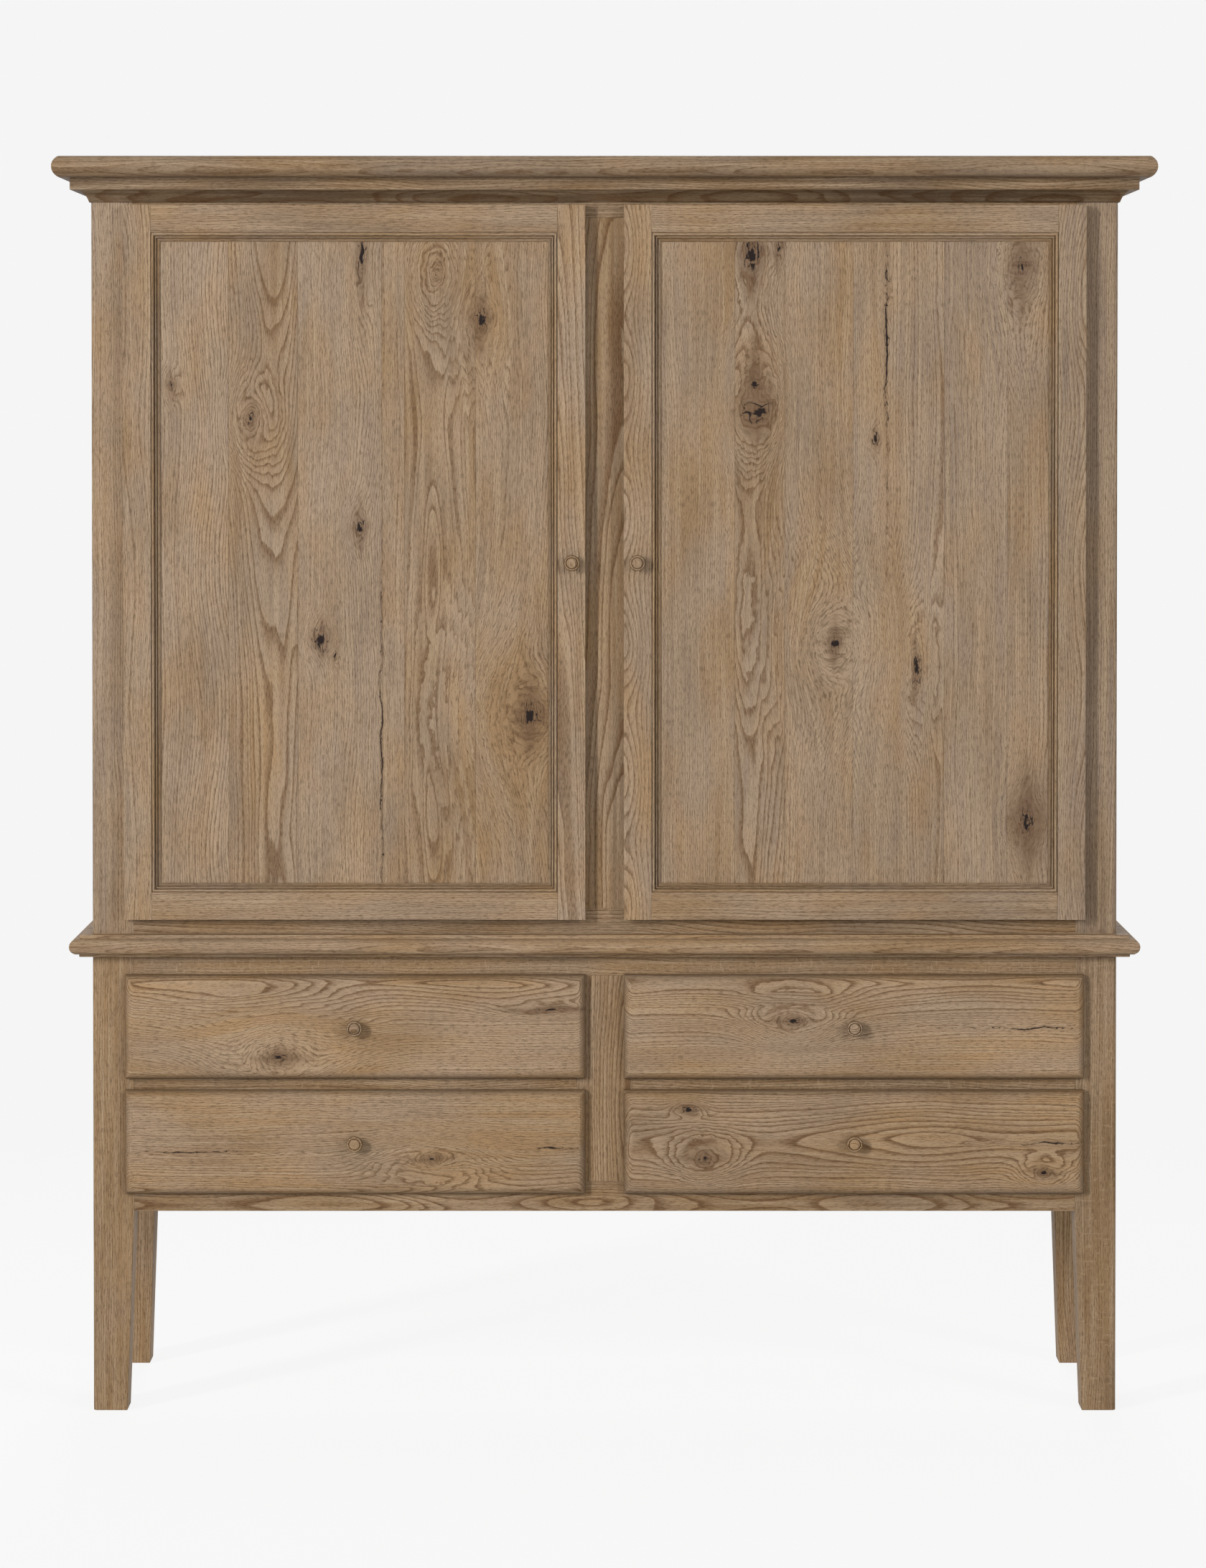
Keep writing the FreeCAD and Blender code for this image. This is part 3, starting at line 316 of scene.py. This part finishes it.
def board_place(tree, centre, along, out):
    """Board coordinates in mm about a point in metres: x across, y along, z out of the face."""
    turn = Matrix((along.cross(out), along, out))
    spot = add(tree, "ShaderNodeTexCoord").outputs["Object"]
    return add(tree, "ShaderNodeMapping", {
        "Vector": spot, "Location": turn @ Vector(centre) * -PER_M,
        "Rotation": turn.to_euler(), "Scale": (PER_M, PER_M, PER_M)})


def board(heart, pith=60, lean=0.01, tone=1.0, grey=0.3, wave=4, crest=0, period=515, ring=3.4):
    """How a board was cut: its heart across and its pith under the face, in mm, how the pith leans,
    and how far it waves to and fro in each period, nearest to the face at crest; its tone, its
    greyness and the width of its rings in mm.
    """
    return (heart, pith, lean), (tone, grey, ring), (wave, crest, period)


def turned_grain(tree, place, face, cross):
    """Board coordinates that turn where one part of a piece crosses another, as in oak()."""
    along, out, centre, weights, limit = cross
    spot = add(tree, "ShaderNodeTexCoord").outputs["Object"]
    spot = add(tree, "ShaderNodeVectorMath", [spot, centre], operation="SUBTRACT")
    spot = add(tree, "ShaderNodeVectorMath", [spot], operation="ABSOLUTE")
    spot = add(tree, "ShaderNodeVectorMath", [spot, weights], operation="DOT_PRODUCT")
    over = add(tree, "ShaderNodeMath", [spot.outputs["Value"], limit], operation="GREATER_THAN")
    turned = board_place(tree, face, along, out)
    return add(tree, "ShaderNodeMix", {0: over, 4: place, 5: turned},
               data_type="VECTOR").outputs[1]


def glued_boards(tree, across, boards, edges, seed):
    """What board() says, and the seed, step from board to board; with the mm to a glue line."""
    cuts, joint = boards[0], FAR_FROM_GLUE
    for before, after, edge in zip(boards, boards[1:], edges):
        past = add(tree, "ShaderNodeMath", [across, edge], operation="SUBTRACT")
        step = add(tree, "ShaderNodeMath", [past, 0], operation="GREATER_THAN")
        cuts = [add(tree, "ShaderNodeVectorMath", [step, Vector(new) - Vector(old), cut],
                    operation="MULTIPLY_ADD") for old, new, cut in zip(before, after, cuts)]
        seed = add(tree, "ShaderNodeMath", [step, 1.7, seed], operation="MULTIPLY_ADD")
        past = add(tree, "ShaderNodeMath", [past], operation="ABSOLUTE")
        joint = add(tree, "ShaderNodeMath", [past, joint], operation="MINIMUM")
    return cuts, seed, joint


def rubbed_edges(tree, place, half, pair):
    """Wear on the edges of a board, or of both boards of a pair; half is the piece's half size."""
    if pair:
        at = add(tree, "ShaderNodeVectorMath", [place], operation="ABSOLUTE")
        at = add(tree, "ShaderNodeVectorMath", [at, (pair[0], 0, 0)], operation="SUBTRACT")
        half = Vector((pair[1], half.y, half.z))
    else:
        at = add(tree, "ShaderNodeVectorMath", [place, (0, 0, half.z)], operation="ADD")
    return add(tree, "ShaderNodeGroup", {"At": at, "Half": half}, node_tree=WORN_EDGE)


def oak(name, piece, along, out=-Y, boards=(board(200),), edges=(), knots=(), pair=None,
        cross=None, bare=BARE, edge_wear=1.0, shade_by_depth=None, **finish):
    """Oak for one piece, glued up from boards, with the grain along and the face out.

    Edges are where one board meets the next, in mm across the piece from its middle. A knot is
    ((across, along), half width, reach, core, dark) and, where it isn't 1, its sweep. A pair of
    boards is (distance from the middle, half width). Where |place - centre| . weights passes
    limit, cross = (along, out, centre, weights, limit) turns the grain. Darkening with depth is
    painted shade in grooves, coves and under noses, in part old waxing in the grooves; it runs
    from one height over the face to another, in mm, and from one share to another. Without it,
    waxing darkens the glue lines of boards that aren't a pair. Finish is for sawn_oak.
    """
    low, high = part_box(piece)
    turn = Matrix((along.cross(out), along, out))
    half = Vector([abs(side) * PER_M for side in turn @ ((high - low) / 2)])
    face = (low + high) / 2 + out * half.z * MM
    material, tree = new_material(name)
    place = board_place(tree, face, along, out)
    if cross:
        place = turned_grain(tree, place, face, cross)
    across, _, depth = add(tree, "ShaderNodeSeparateXYZ", [place]).outputs

    # The letters of a piece's name say from where in the tree its first board comes
    (figure, *others), seed, joint = glued_boards(tree, across, boards, edges,
                                                  sum(map(ord, piece)) % 11)
    touch, swing = (add(tree, "ShaderNodeSeparateXYZ", [cut]).outputs for cut in others)
    looks = {"Bare": colour(bare), "Figure": figure, "Tone": touch[0], "Grey": touch[1],
             "Ring": touch[2], "Seed": seed, "Wave": swing[0], "Crest": swing[1],
             "Period": swing[2], **finish}
    if edge_wear:
        wear = rubbed_edges(tree, place, half, pair)
        looks["Wear"] = add(tree, "ShaderNodeMath", [wear, edge_wear], operation="MULTIPLY")
    # Painted shade: darker with depth below the face, in grooves, coves and under noses
    if shade_by_depth:
        looks["WaxAndShade"] = add(tree, "ShaderNodeMapRange", [depth, *shade_by_depth])
    elif edges and not pair:
        looks["WaxAndShade"] = add(tree, "ShaderNodeMapRange", [joint, 0, GLUE_LINE, 0.5, 0])
    flow = {"Board": place}
    for spot, width, reach, core, dark, *sweep in knots:
        passed = add(tree, "ShaderNodeGroup", {
            **flow, "Place": (*spot, 0), "Size": width, "Reach": reach, "Core": core, "Dark": dark,
            "Sweep": sweep[0] if sweep else 1.0}, node_tree=KNOT).outputs
        flow = {key: passed[key] for key in ("Board", "Swell", "Halo", "Split")}
    wood = add(tree, "ShaderNodeGroup", {**looks, **flow}, node_tree=SAWN_OAK).outputs
    bump = add(tree, "ShaderNodeBump", {"Strength": 0.6, "Distance": PORE_DEPTH * MM,
                                        "Height": wood["Height"]})
    # Dry open grain shines far less than a sealed face
    surface = add(tree, "ShaderNodeBsdfPrincipled", {
        "Base Color": wood["Colour"], "Roughness": wood["Roughness"], "Specular IOR Level": 0.14,
        "Normal": bump})
    add(tree, "ShaderNodeOutputMaterial", [surface])
    return material


def finish_with(material, *pieces):
    for piece in pieces:
        nodes[piece].material_slots[0].material = material


# --- Metal ------------------------------------------------------------------

def nickel_plate(name, tint, rough, brushed):
    """Nickel-plated steel, a soft warm mirror. Brushed is how fine its rubbing is along x, y, z."""
    material, tree = new_material(name)
    spot = add(tree, "ShaderNodeTexCoord").outputs["Object"]
    rubbed = add(tree, "ShaderNodeVectorMath", [spot, brushed], operation="MULTIPLY")
    rubbed = add(tree, "ShaderNodeTexNoise", {"Vector": rubbed, "Scale": 1, "Detail": 3})
    smears = add(tree, "ShaderNodeTexNoise", {"Vector": spot, "Scale": 70, "Detail": 2})
    matt = add(tree, "ShaderNodeMapRange", [smears, 0.3, 0.7, rough - 0.06, rough + 0.1])
    dull = add(tree, "ShaderNodeMapRange", [rubbed, 0.3, 0.7, 0.86, 1.05])
    shade = add(tree, "ShaderNodeVectorMath", {0: colour(tint)[:3], "Scale": dull},
                operation="SCALE")
    bump = add(tree, "ShaderNodeBump", {"Strength": 0.06, "Distance": 0.05 * MM, "Height": rubbed})
    surface = add(tree, "ShaderNodeBsdfPrincipled", {
        "Base Color": shade, "Metallic": 1, "Roughness": matt, "Normal": bump})
    add(tree, "ShaderNodeOutputMaterial", [surface])
    return material


# --- Pieces and their boards ------------------------------------------------

# Pairs of like boards in one piece: mm from the piece's middle to a board's, half its width
DOOR_STILES = (394.75, 25.25)
DOOR_RAILS = (625.5, 25)
REAR_POSTS = (897.5, 37.5)
SIDE_TOP_RAIL, SIDE_LOW_RAIL = 170, 75     # mm wide
BOX_WALL = 12                              # mm thick
FINE_ROUND, HAND_ROUND = 0.25, 1.1         # mm off an arris of steel or a bead, and of the rest


def middle(piece):
    low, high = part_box(piece)
    return (low + high) / 2


def size(piece):
    low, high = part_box(piece)
    return high - low


def finish_doors():
    """Panels glued up from boards with knots and splits, in plain straight-grained frames."""
    panel_boards = {
        "left": (board(-90, 170, 0.0, 1.02, 0.75, 8),
                 board(-128, 85, -0.02, 0.96, 0.5, 13, 750, 2000),
                 board(160, 90, 0.02, 1.03, 0.65, 8), board(300, 60, 0.0, 0.99, 0.5),
                 board(158, 30, 0.0, 0.96, 0.35, 7, 12, 515, 9),
                 board(430, 60, 0.01, 0.96, 0.35, 8)),
        "right": (board(60, 80, 0.0, 0.96, 0.5, 8), board(-182, 75, -0.014, 0.93, 0.5, 2),
                  board(-260, 90, 0.03, 0.97, 0.5, 6), board(240, 80, 0.004, 0.99, 0.65, 0),
                  board(-60, 120, 0.0, 0.97, 0.95), board(430, 60, 0.01, 0.95, 0.7, 0))}
    panel_edges = {"left": (-229, -103, 50, 91, 220), "right": (-218, -127, -3, 163, 278)}
    panel_knots = {
        "left": (((14, 560), 9, 7, 0.6, 0.8), ((231, 440), 16, 1.9, 0.5, 1, 1.7),
                 ((-334, 323), 8, 1.8, 0.35, 0.8), ((-188, 263), 11, 1.8, 0.4, 0.7, 2.0),
                 ((10, 64), 13, 1.8, 0.6, 0.9), ((-62, -140), 15, 1.3, 0.75, 0.9),
                 ((-40, -168), 5, 1.8, 0.8, 0.7), ((320, -279), 24, 1.3, 0.55, 1, 2.8),
                 ((49, -330), 2.2, 120, 0.8, 0.6), ((150, 525), 12, 1.8, 0.1, 0.3, 1.8)),
        "right": (((-188, 561), 20, 1.7, 0.6, 1), ((-142, 571), 12, 1.6, 0.45, 0.8),
                  ((-182, 325), 17, 2.6, 0.2, 1, 1.6), ((-180, 274), 15, 2, 0.45, 1, 1.4),
                  ((58, 390), 3, 63, 0.8, 0.6), ((37, 226), 8, 1.8, 0.6, 0.7),
                  ((-37, -148), 13, 1.5, 0.6, 1, 4.4),
                  ((99, -190), 10, 3.5, 0.7, 0.9, 1.8), ((302, 539), 20, 2.2, 0.25, 0.8, 2.2),
                  ((316, -470), 26, 1.8, 0.35, 1))}
    # The left stile, the right one, the low rail and the top one
    frames = {
        "left": (board(-470, 60, 0.02, 0.95, 0.6, 8), board(372, 70, 0.03, 1.1, 0.6, 0, ring=4.6),
                 board(-640, 40, 0.02, 1.0, 0.4, 8), board(640, 60, 0.01, 0.93, 0.4)),
        "right": (board(-406, 24, 0.0, 1.03, 0.5, 5, 330, 240, 4.5),
                  board(460, 60, 0.02, 0.96, 0.95, 8),
                  board(-630, 40, 0.02, 0.96, 0.5, 8), board(640, 60, 0.01, 0.94, 0.5))}
    for side in ("left", "right"):
        panel, stiles, rails, beads = (f"{side}_door_{part}" for part in
                                       ("panel", "stiles", "rails", "beads"))
        finish_with(oak(f"waxed_oak_{side}_panel", panel, Z, boards=panel_boards[side],
                        edges=panel_edges[side], knots=panel_knots[side], edge_wear=0,
                        Lines=0.65), panel)
        finish_with(oak(f"waxed_oak_{side}_stiles", stiles, Z, edges=(0,), pair=DOOR_STILES,
                        boards=frames[side][:2], Lines=0.6), stiles)
        finish_with(oak(f"waxed_oak_{side}_rails", rails, X, edges=(0,), pair=DOOR_RAILS,
                        boards=frames[side][:1:-1]), rails)
        # The beads meet in mitres at the corners
        wide, _, tall = size(beads)
        cross = (X, -Y, middle(beads), (-1, 0, 1), (tall - wide) / 2)
        # Darker with depth into the grooves: painted shade, in part old waxing gathered there
        finish_with(oak(f"waxed_oak_{side}_beads", beads, Z, boards=(board(-900, tone=0.98),),
                        cross=cross, edge_wear=0, shade_by_depth=(-2, -8, 0, 0.5)), beads)


def finish_drawers():
    """Each front is one wide board, with an ovolo worked round it."""
    fronts = {
        "upper_left": (board(-70, 50, 0.02, 1.07, 0.25, 4, 260),
                       (((55, -138), 15, 1.5, 0.5, 1, 3), ((-32, 358), 6, 8, 0.35, 1))),
        "upper_right": (board(-90, 80, 0.02, 1.11, 0.35, 3, -100),
                        (((-13, -113), 11, 1.7, 0.6, 0.9, 2), ((1, 320), 2, 45, 0.8, 0.5))),
        "lower_left": (board(140, 60, 0.01, 1.02, 0.25),
                       (((30, 140), 8, 2.6, 0.3, 0.8, 2.4), ((16, -300), 1.6, 50, 0.75, 0.4),
                        ((10, 357), 1.6, 34, 0.75, 0.4))),
        "lower_right": (board(14, 90, -0.01, 1.02, 0.25, 2, 100),
                        (((-60, -302), 8, 1.7, 0.7, 0.8), ((26, -271), 15, 1.5, 0.4, 0.8, 1.3),
                         ((55, 345), 9, 1.6, 0.7, 0.9, 1.5), ((1, 359), 2, 30, 0.8, 0.6))),
    }
    for drawer, (cut, knots) in fronts.items():
        front, box = f"drawer_{drawer}_front", f"drawer_{drawer}_box"
        # The ovolo round each front darkens with depth: painted shade, in part old waxing
        finish_with(oak(f"waxed_oak_{drawer}_front", front, X, boards=(cut,), knots=knots,
                        shade_by_depth=(-1, -12, 0, 0.65)), front)
        # The grain of the box's sides runs from front to back
        wall = (Y, X, middle(box), (1, 0, 0), size(box).x / 2 - BOX_WALL * MM)
        finish_with(oak(f"bare_oak_{drawer}_box", box, X, boards=(board(200),), cross=wall,
                        bare=INSIDE, edge_wear=0, Lines=0.45), box)


def finish_carcass():
    """Legs, posts, rails, tops and sides. Uprights and lengths have their cut and ray flecks."""
    # The mullion's low tone is partly painted shade between the doors
    uprights = {
        "front_leg_left": (board(-220, tone=0.88, grey=0), 0.0),
        "front_leg_right": (board(240, tone=0.77, grey=0), 0.3),
        "base_centre_stile": (board(60, tone=0.9, grey=0), 0.0),
        "cabinet_post_left": (board(-160, lean=0.02, tone=1.04, grey=0.7), 0.0),
        "cabinet_post_right": (board(170, lean=0.02, tone=0.82, grey=1), 0.0),
        "cabinet_mullion": (board(44, 60, 0.03, 0.84, 0.2, 3, ring=7), 0.0),
    }
    for piece, (cut, flecks) in uprights.items():
        finish_with(oak("waxed_oak_" + piece, piece, Z, boards=(cut,), Flecks=flecks), piece)
    for piece, heart in (("rear_leg_left", -180), ("rear_leg_right", 190)):
        cut = board(heart, tone=0.95, grey=0)
        finish_with(oak("waxed_oak_" + piece, piece, Z, Y, boards=(cut,)), piece)
    finish_with(oak("waxed_oak_rear_posts", "cabinet_rear_posts", Z, Y, edges=(0,),
                    pair=REAR_POSTS, boards=(board(-1100), board(1120))), "cabinet_rear_posts")

    # The rails' low tones are partly painted shade under the waist and behind the doors and drawers
    lengths = {
        "base_top_rail": (board(120, tone=0.87, grey=0.1), 0.35),
        "base_middle_rails": (board(90, tone=0.8, grey=0), 0.25),
        "base_bottom_rail": (board(30, 40, 0.01, 0.83, 0), 0.0),
        "cabinet_bottom_rail": (board(80, 60, 0.03, 0.82, 0.2), 0.0),
        "cabinet_top_rail": (board(100, tone=0.82, grey=0.2), 0.0),
    }
    for piece, (cut, flecks) in lengths.items():
        finish_with(oak("waxed_oak_" + piece, piece, X, boards=(cut,), Flecks=flecks), piece)
    # The tops lie flat, three boards deep, with painted shade under the nose
    for piece, tone, grey, shade_by_depth in (("waist_top", 1.04, 0.2, (-32, -37, 0, 0.4)),
                                   ("cornice_cap", 0.82, 0.5, (-18, -33, 0, 0.5))):
        cuts = (board(-150, 50, 0.02, tone, grey), board(30, 70, -0.02, tone * 1.03, grey),
                board(120, 60, 0.02, tone, grey))
        finish_with(oak("waxed_oak_" + piece, piece, X, Z, boards=cuts, edges=(-96, 88),
                        shade_by_depth=shade_by_depth), piece)
    # The cornice turns the corners in mitres
    low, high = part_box("cornice_moulding")
    sides = (Y, X, (0, low.y, low.z), (1, 1, 0), high.x)
    # Its low tone and its darkening with depth are painted shade in the cove under the cap
    finish_with(oak("waxed_oak_cornice", "cornice_moulding", X,
                    boards=(board(80, tone=0.6, grey=0.2),), cross=sides, edge_wear=0,
                    shade_by_depth=(-8, -30, 0, 0.6)), "cornice_moulding")

    for side, out in (("left", -X), ("right", X)):
        piece = f"base_side_{side}"
        cuts = (board(-190, tone=0.95), board(10, 50, 0.04, 0.98), board(260, tone=0.94))
        finish_with(oak("waxed_oak_" + piece, piece, Y, out, boards=cuts, edges=(-78, 82)), piece)
        piece = f"cabinet_side_{side}"
        # The panel's middle lies low, because the top rail is the wider one
        centre = middle(piece) - Z * (SIDE_TOP_RAIL - SIDE_LOW_RAIL) / 2 * MM
        rail = (Y, out, centre, (0, 0, 1),
                size(piece).z / 2 - (SIDE_TOP_RAIL + SIDE_LOW_RAIL) / 2 * MM)
        cuts = (board(-200, tone=0.98), board(-20, 60, -0.05), board(240, tone=0.96))
        finish_with(oak("waxed_oak_" + piece, piece, Z, out, boards=cuts, edges=(-88, 46),
                        cross=rail, edge_wear=0, knots=(((-30, 180), 12, 1.7, 0.65, 0.9),)), piece)


def finish_inside():
    """Oak inside the carcass was oiled once and is paler."""
    glued = (board(-700), board(-330, 50, 0.05, 1.02), board(40, 80, 0.01, 0.98),
             board(300, 40, -0.05), board(800, tone=0.96))
    for piece, along, out, boards, edges in (
            ("base_back", Z, Y, glued, (-520, -170, 190, 540)),
            ("cabinet_back", Z, Y, glued, (-540, -160, 170, 510)),
            ("base_partition", Z, X, glued[1:4], (-80, 70)),
            ("cabinet_partition", Z, X, glued[1:4], (-70, 90)),
            ("cabinet_floor", X, Z, glued[1:4], (-80, 60)),
            ("cabinet_ceiling", X, Z, glued[1:4], (-60, 80)),
            ("shelf_1", X, Z, glued[1:4], (-70, 75)),
            ("shelf_2", X, Z, glued[2:5], (-90, 60)),
            ("shelf_3", X, Z, glued[0:3], (-65, 80)),
            ("drawer_runners", Y, Z, glued[2:3], ()),
            ("shelf_cleats", Y, Z, glued[2:3], ())):
        finish_with(oak("oiled_oak_" + piece, piece, along, out, boards=boards, edges=edges,
                        bare=INSIDE, edge_wear=0, Lines=0.5), piece)


def finish_steel():
    """Nickel is warmer and darker than chrome. Hinges are rubbed lengthwise; the rail is drawn."""
    plated = nickel_plate("nickel_plated_steel", "#C9C4BA", 0.3, (400, 400, 60))
    finish_with(plated, "left_hinge_arms", "right_hinge_arms", "left_door_hinge_cups",
                "right_door_hinge_cups", "rail_sockets")
    drawn = nickel_plate("drawn_nickel_tube", "#C6C1B8", 0.24, (12, 500, 500))
    finish_with(drawn, "hanging_rail")


def ease_edges():
    """Hand-rubbed arrises: every piece gets a small round on its sharp edges."""
    for name, piece in nodes.items():
        steel = name.endswith(("arms", "cups", "sockets", "hanging_rail"))
        piece.data.shade_smooth()
        weld = piece.modifiers.new("weld", "WELD")
        weld.merge_threshold = 0.005 * MM
        flat = piece.modifiers.new("one_face_per_plane", "DECIMATE")
        flat.decimate_type = "DISSOLVE"
        flat.angle_limit = math.radians(0.4)
        ease = piece.modifiers.new("eased_arris", "BEVEL")
        ease.width = (FINE_ROUND if steel or name.endswith("beads") else HAND_ROUND) * MM
        ease.segments = 2
        ease.limit_method = "ANGLE"
        ease.angle_limit = math.radians(35)
        ease.use_clamp_overlap = True
        true = piece.modifiers.new("flat_faces", "WEIGHTED_NORMAL")
        true.weight = 100


# --- Turned and small pieces ------------------------------------------------

def turned_knob(name, stands_for, body):
    """A turned mushroom knob: a waisted neck, a rounded rim and a button inside a ring."""
    low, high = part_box(stands_for)
    centre, radius, length = (low + high) / 2, (high.x - low.x) / 2, high.y - low.y
    # (share of the radius, share of the length out from the face)
    neck = [(0.66, 0), (0.64, 0.05), (0.53, 0.14), (0.50, 0.26), (0.60, 0.40)]
    rim = [(0.82, 0.50), (0.95, 0.57), (1.0, 0.66), (0.985, 0.74), (0.92, 0.81), (0.82, 0.845)]
    ring = [(0.75, 0.84), (0.72, 0.79), (0.69, 0.765), (0.665, 0.79), (0.65, 0.86)]
    button = [(0.62, 0.93), (0.50, 0.975), (0.30, 0.993), (0.12, 1.0), (0, 1.0)]
    made = bmesh.new()
    spots = [made.verts.new((share * radius, -far * length, 0))
             for share, far in neck + rim + ring + button]
    line = [made.edges.new(pair) for pair in zip(spots, spots[1:])]
    bmesh.ops.spin(made, geom=spots + line, cent=(0, 0, 0), axis=(0, 1, 0), angle=2 * math.pi,
                   steps=48, use_merge=True)
    bmesh.ops.remove_doubles(made, verts=made.verts, dist=0.01 * MM)
    bmesh.ops.holes_fill(made, edges=[edge for edge in made.edges if edge.is_boundary])
    bmesh.ops.recalc_face_normals(made, faces=made.faces)
    bmesh.ops.translate(made, verts=made.verts, vec=(centre.x, high.y, centre.z))
    return new_piece(name, made, body, stands_for)


def new_piece(name, made, body, stands_for):
    """A piece made from a bmesh, in the place of a CAD one."""
    mesh = bpy.data.meshes.new(name)
    made.to_mesh(mesh)
    made.free()
    mesh.shade_smooth()
    piece = bpy.data.objects.new(name, mesh)
    bpy.context.scene.collection.objects.link(piece)
    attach(piece, body)
    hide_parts(stands_for)
    return piece


def make_knobs():
    """Knobs turned from square stock: the grain runs up them, and the rim shows end grain."""
    bodies = {"left_door_knob": "left_door", "right_door_knob": "right_door"}
    for drawer in ("upper_left", "upper_right", "lower_left", "lower_right"):
        bodies[f"drawer_{drawer}_knob"] = f"drawer_{drawer}"
    for index, (stands_for, body) in enumerate(bodies.items()):
        piece = turned_knob("turned_" + stands_for, stands_for, body)
        along = Z if "door_knob" in stands_for else X
        # Three ways of cutting, so that neighbours differ
        cut = board((9, -14, 20)[index % 3], 12, 0.05, 1.1)
        # Darker from 4 mm behind the button's face: painted shade in the ring groove and behind the
        # rim
        piece.data.materials.append(oak("waxed_oak_" + stands_for, stands_for, along, boards=(cut,),
                                        edge_wear=0, shade_by_depth=(-4, -5.4, 0, 0.85), Ring=2.2))


# --- Studio -----------------------------------------------------------------

BACKDROP = "#F5F5F5"
FLOOR_HALF = 40                            # m
LAMPS_OFF, LAMPS_AIM = 12, (0, 0, 1.2)     # m


def shown(tree):
    """1 where the eye, or a mirror that it looks into, meets the studio, and 0 for its light."""
    rays = add(tree, "ShaderNodeLightPath").outputs
    return add(tree, "ShaderNodeMath", [rays["Is Camera Ray"], rays["Is Glossy Ray"]],
               operation="MAXIMUM")


def pale_floor():
    """A pale floor that runs out into a backdrop of the same tone, just under the feet."""
    made = bmesh.new()
    bmesh.ops.create_grid(made, x_segments=1, y_segments=1, size=FLOOR_HALF)
    bmesh.ops.translate(made, verts=made.verts, vec=(0, 0, -0.5 * MM))
    mesh = bpy.data.meshes.new("studio_floor")
    made.to_mesh(mesh)
    made.free()
    floor = bpy.data.objects.new("studio_floor", mesh)
    bpy.context.scene.collection.objects.link(floor)

    # Seen directly, the floor is the backdrop's tone, with a little of the light that falls on it
    material, tree = new_material("painted_studio_floor")
    lit = add(tree, "ShaderNodeBsdfDiffuse", [colour("#E8E8E8")])
    spot = add(tree, "ShaderNodeTexCoord").outputs["Object"]
    away = add(tree, "ShaderNodeVectorMath", [spot], operation="LENGTH").outputs["Value"]
    near, far = 1.2, 3.2       # m from the middle, where the lit floor gives way to the backdrop
    share = add(tree, "ShaderNodeMapRange", [away, near, far, 0.86, 1])
    strength = add(tree, "ShaderNodeMapRange", [away, near, far, 1.1, 1])
    glow = add(tree, "ShaderNodeEmission", [colour(BACKDROP), strength])
    seen = add(tree, "ShaderNodeMixShader", [share, lit, glow])
    surface = add(tree, "ShaderNodeMixShader", [shown(tree), lit, seen])
    add(tree, "ShaderNodeOutputMaterial", [surface])
    mesh.materials.append(material)


def pale_world():
    """The backdrop's tone to the eye, and soft light from all round for the pieces."""
    world = bpy.data.worlds.new("pale_studio")
    bpy.context.scene.world = world
    world.use_nodes = True
    tree = world.node_tree
    tree.nodes.clear()
    # More of the soft light comes from the ceiling than from the floor
    aim = add(tree, "ShaderNodeTexCoord").outputs["Generated"]
    height = add(tree, "ShaderNodeSeparateXYZ", [aim]).outputs[2]
    strength = add(tree, "ShaderNodeMapRange", [height, -0.2, 1, 0.03, 0.34])
    fill = add(tree, "ShaderNodeBackground", [colour("#FFFFFF"), strength])
    seen = add(tree, "ShaderNodeBackground", [colour(BACKDROP), 1])
    surface = add(tree, "ShaderNodeMixShader", [shown(tree), fill, seen])
    add(tree, "ShaderNodeOutputWorld", [surface])


def softbox(name, azimuth, elevation, width, height, watts):
    """A far softbox turned to the middle; azimuth runs from the front to the right, in degrees."""
    lamp = bpy.data.lights.new(name, "AREA")
    lamp.shape = "RECTANGLE"
    lamp.size, lamp.size_y, lamp.energy = width, height, watts
    holder = bpy.data.objects.new(name, lamp)
    bpy.context.scene.collection.objects.link(holder)
    turn = Euler((math.radians(90 - elevation), 0, math.radians(azimuth)))
    holder.rotation_euler = turn
    holder.location = Vector(LAMPS_AIM) + turn.to_matrix() @ Vector((0, 0, LAMPS_OFF))


def camera():
    """A long lens a little above half height, tilted down a touch."""
    lens = bpy.data.cameras.new("front_view")
    lens.sensor_width = 36
    lens.lens = 107.8
    lens.shift_x, lens.shift_y = -0.001, -0.1746
    lens.clip_end = 200
    holder = bpy.data.objects.new("front_view", lens)
    bpy.context.scene.collection.objects.link(holder)
    away, height, tilt = 8.77, 1.827, 1.2      # m, m, degrees
    holder.location = (0, -away, height)
    holder.rotation_euler = (math.radians(90 - tilt), 0, 0)
    bpy.context.scene.camera = holder


finish_doors()
finish_drawers()
finish_carcass()
finish_inside()
finish_steel()
ease_edges()
make_knobs()
pale_floor()
pale_world()
softbox("key", -42, 15, 1.1, 4.8, 930)
softbox("fill", 42, 15, 2.2, 4.8, 415)
softbox("back", 180, 28, 3, 3, 520)
camera()
bpy.context.scene.view_settings.view_transform = "Standard"
